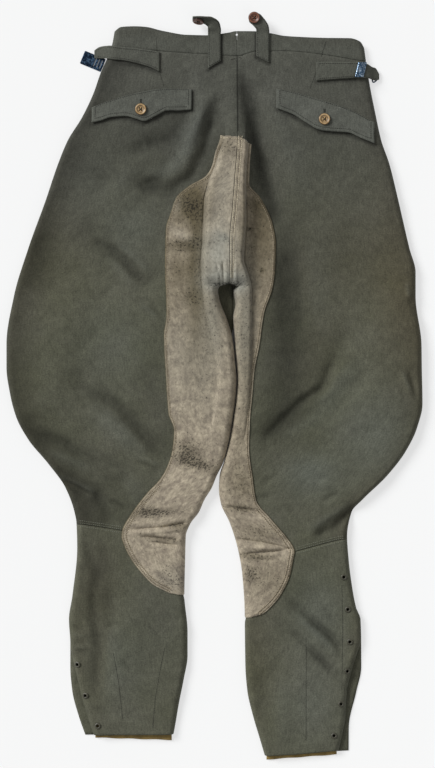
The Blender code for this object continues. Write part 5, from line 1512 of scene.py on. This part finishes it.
stitches("cream_thread_seat_seam", cream, CREAM_THREAD, radius=0.5)
stitches("tan_thread_suede_edges", tan, TAN_THREAD, radius=0.5)
stitches("brown_thread_painted_groove_shadows", groove_shadow_rows, GROOVE_SHADOW_THREAD, pitch=2.5, radius=0.34)
stitches("dark_thread_wool", dark, DARK_THREAD, radius=0.42)
stitches("dark_thread_darts", seams, DARK_THREAD, pitch=2.5, radius=0.3)
stitches("grey_thread_knee_seams", knees, GREY_THREAD, radius=0.4)
stitches("dark_thread_buttonholes", fine, DARK_THREAD, length=1.3, pitch=1.0, radius=0.5)
for number, path in enumerate(THREAD_LOOPS, 1):
    thread = tube(f"button_thread_{number}", path, 0.45, DARK_THREAD, sides=6)


# Floor, light and camera. The garment lies on a white sheet that is lit from below, under a strong lamp at
# the upper left and a wide, weak one at the right. The camera looks straight down, as the photograph's did.

FLOOR_HALF = 6.0
FLOOR_DROP = 0.0002
CORNERS = ((-1, -1), (1, -1), (1, 1), (-1, 1))
floor_mesh = bpy.data.meshes.new("floor")
floor_points = [(x * FLOOR_HALF, y * FLOOR_HALF, -FLOOR_DROP) for x, y in CORNERS]
floor_mesh.from_pydata(floor_points, [], [(0, 1, 2, 3)])
floor = bpy.data.objects.new("floor", floor_mesh)
bpy.context.scene.collection.objects.link(floor)

# Thick white sheet with light behind it. It glows, but not in the narrow opening between the thighs, an oval
# four times as long as it is wide, and only faintly behind the left buckle's slots: painted shade where the
# garment shades the sheet
paper, paper_shader = new_finish("backlit white sheet")
place = add_node(paper, "TexCoord").outputs["Object"]
between = add_node(paper, "Mapping", {"Scale": (1.0, 0.25, 1.0)}, {"Vector": place}).outputs[0]
between = add_node(paper, "VectorMath", {"operation": "DISTANCE", 1: (0.03, 0.005, 0.0)},
                   {0: between}).outputs["Value"]
between = add_node(paper, "MapRange", {1: 0.034, 2: 0.0385, 3: 0.0, 4: 0.6}, {0: between}).outputs[0]
shade_behind_slots = add_node(paper, "VectorMath", {"operation": "DISTANCE", 1: (-0.1693, 0.468, 0.0)},
                 {0: place}).outputs["Value"]
shade_behind_slots = add_node(paper, "MapRange", {1: 0.008, 2: 0.009, 3: 0.15, 4: 1.0}, {0: shade_behind_slots}).outputs[0]
glow_with_painted_shade = add_node(paper, "Math", {"operation": "MULTIPLY"}, {0: between, 1: shade_behind_slots}).outputs[0]
set_node(paper, paper_shader, {"Base Color": linear("#9a9b9b"), "Roughness": 0.9,
                               "Emission Color": (1.0, 1.0, 1.0, 1.0)}, {"Emission Strength": glow_with_painted_shade})
floor_mesh.materials.append(paper)

world = bpy.data.worlds.new("studio")
bpy.context.scene.world = world
world.use_nodes = True
world.node_tree.nodes["Background"].inputs["Color"].default_value = (1, 1, 1, 1)
world.node_tree.nodes["Background"].inputs["Strength"].default_value = 0.36

# Each lamp's name, kind, place in metres, size and power. It is turned to shine at the origin
LAMPS = (("key", "SUN", (-2.3, 1.6, 1.8), 0.4, 3.3), ("fill", "AREA", (2.0, -1.2, 2.6), 2.5, 10.0))
for name, kind, place, size, power in LAMPS:
    lamp = bpy.data.lights.new(name, kind)
    lamp.energy = power
    if kind == "SUN":
        lamp.angle = size
    else:
        lamp.size = size
    light = bpy.data.objects.new(name, lamp)
    light.location = place
    direction = -np.array(place)
    light.rotation_euler = (math.acos(-direction[2] / np.linalg.norm(direction)), 0,
                            math.atan2(direction[1], direction[0]) - math.pi / 2)
    bpy.context.scene.collection.objects.link(light)

bpy.context.scene.view_settings.view_transform = "Standard"

CAMERA_PLACE = (0.0045, 0.0025, 3.2)
CLOTH_LEVEL = 0.01
VIEW_HEIGHT = 1.1136
SENSOR_HEIGHT = 24.0
lens = bpy.data.cameras.new("camera")
lens.sensor_fit = "VERTICAL"
lens.sensor_height = SENSOR_HEIGHT
lens.lens = SENSOR_HEIGHT * (CAMERA_PLACE[2] - CLOTH_LEVEL) / VIEW_HEIGHT
lens.clip_end = 100
camera = bpy.data.objects.new("camera", lens)
camera.location = CAMERA_PLACE
bpy.context.scene.collection.objects.link(camera)
bpy.context.scene.camera = camera
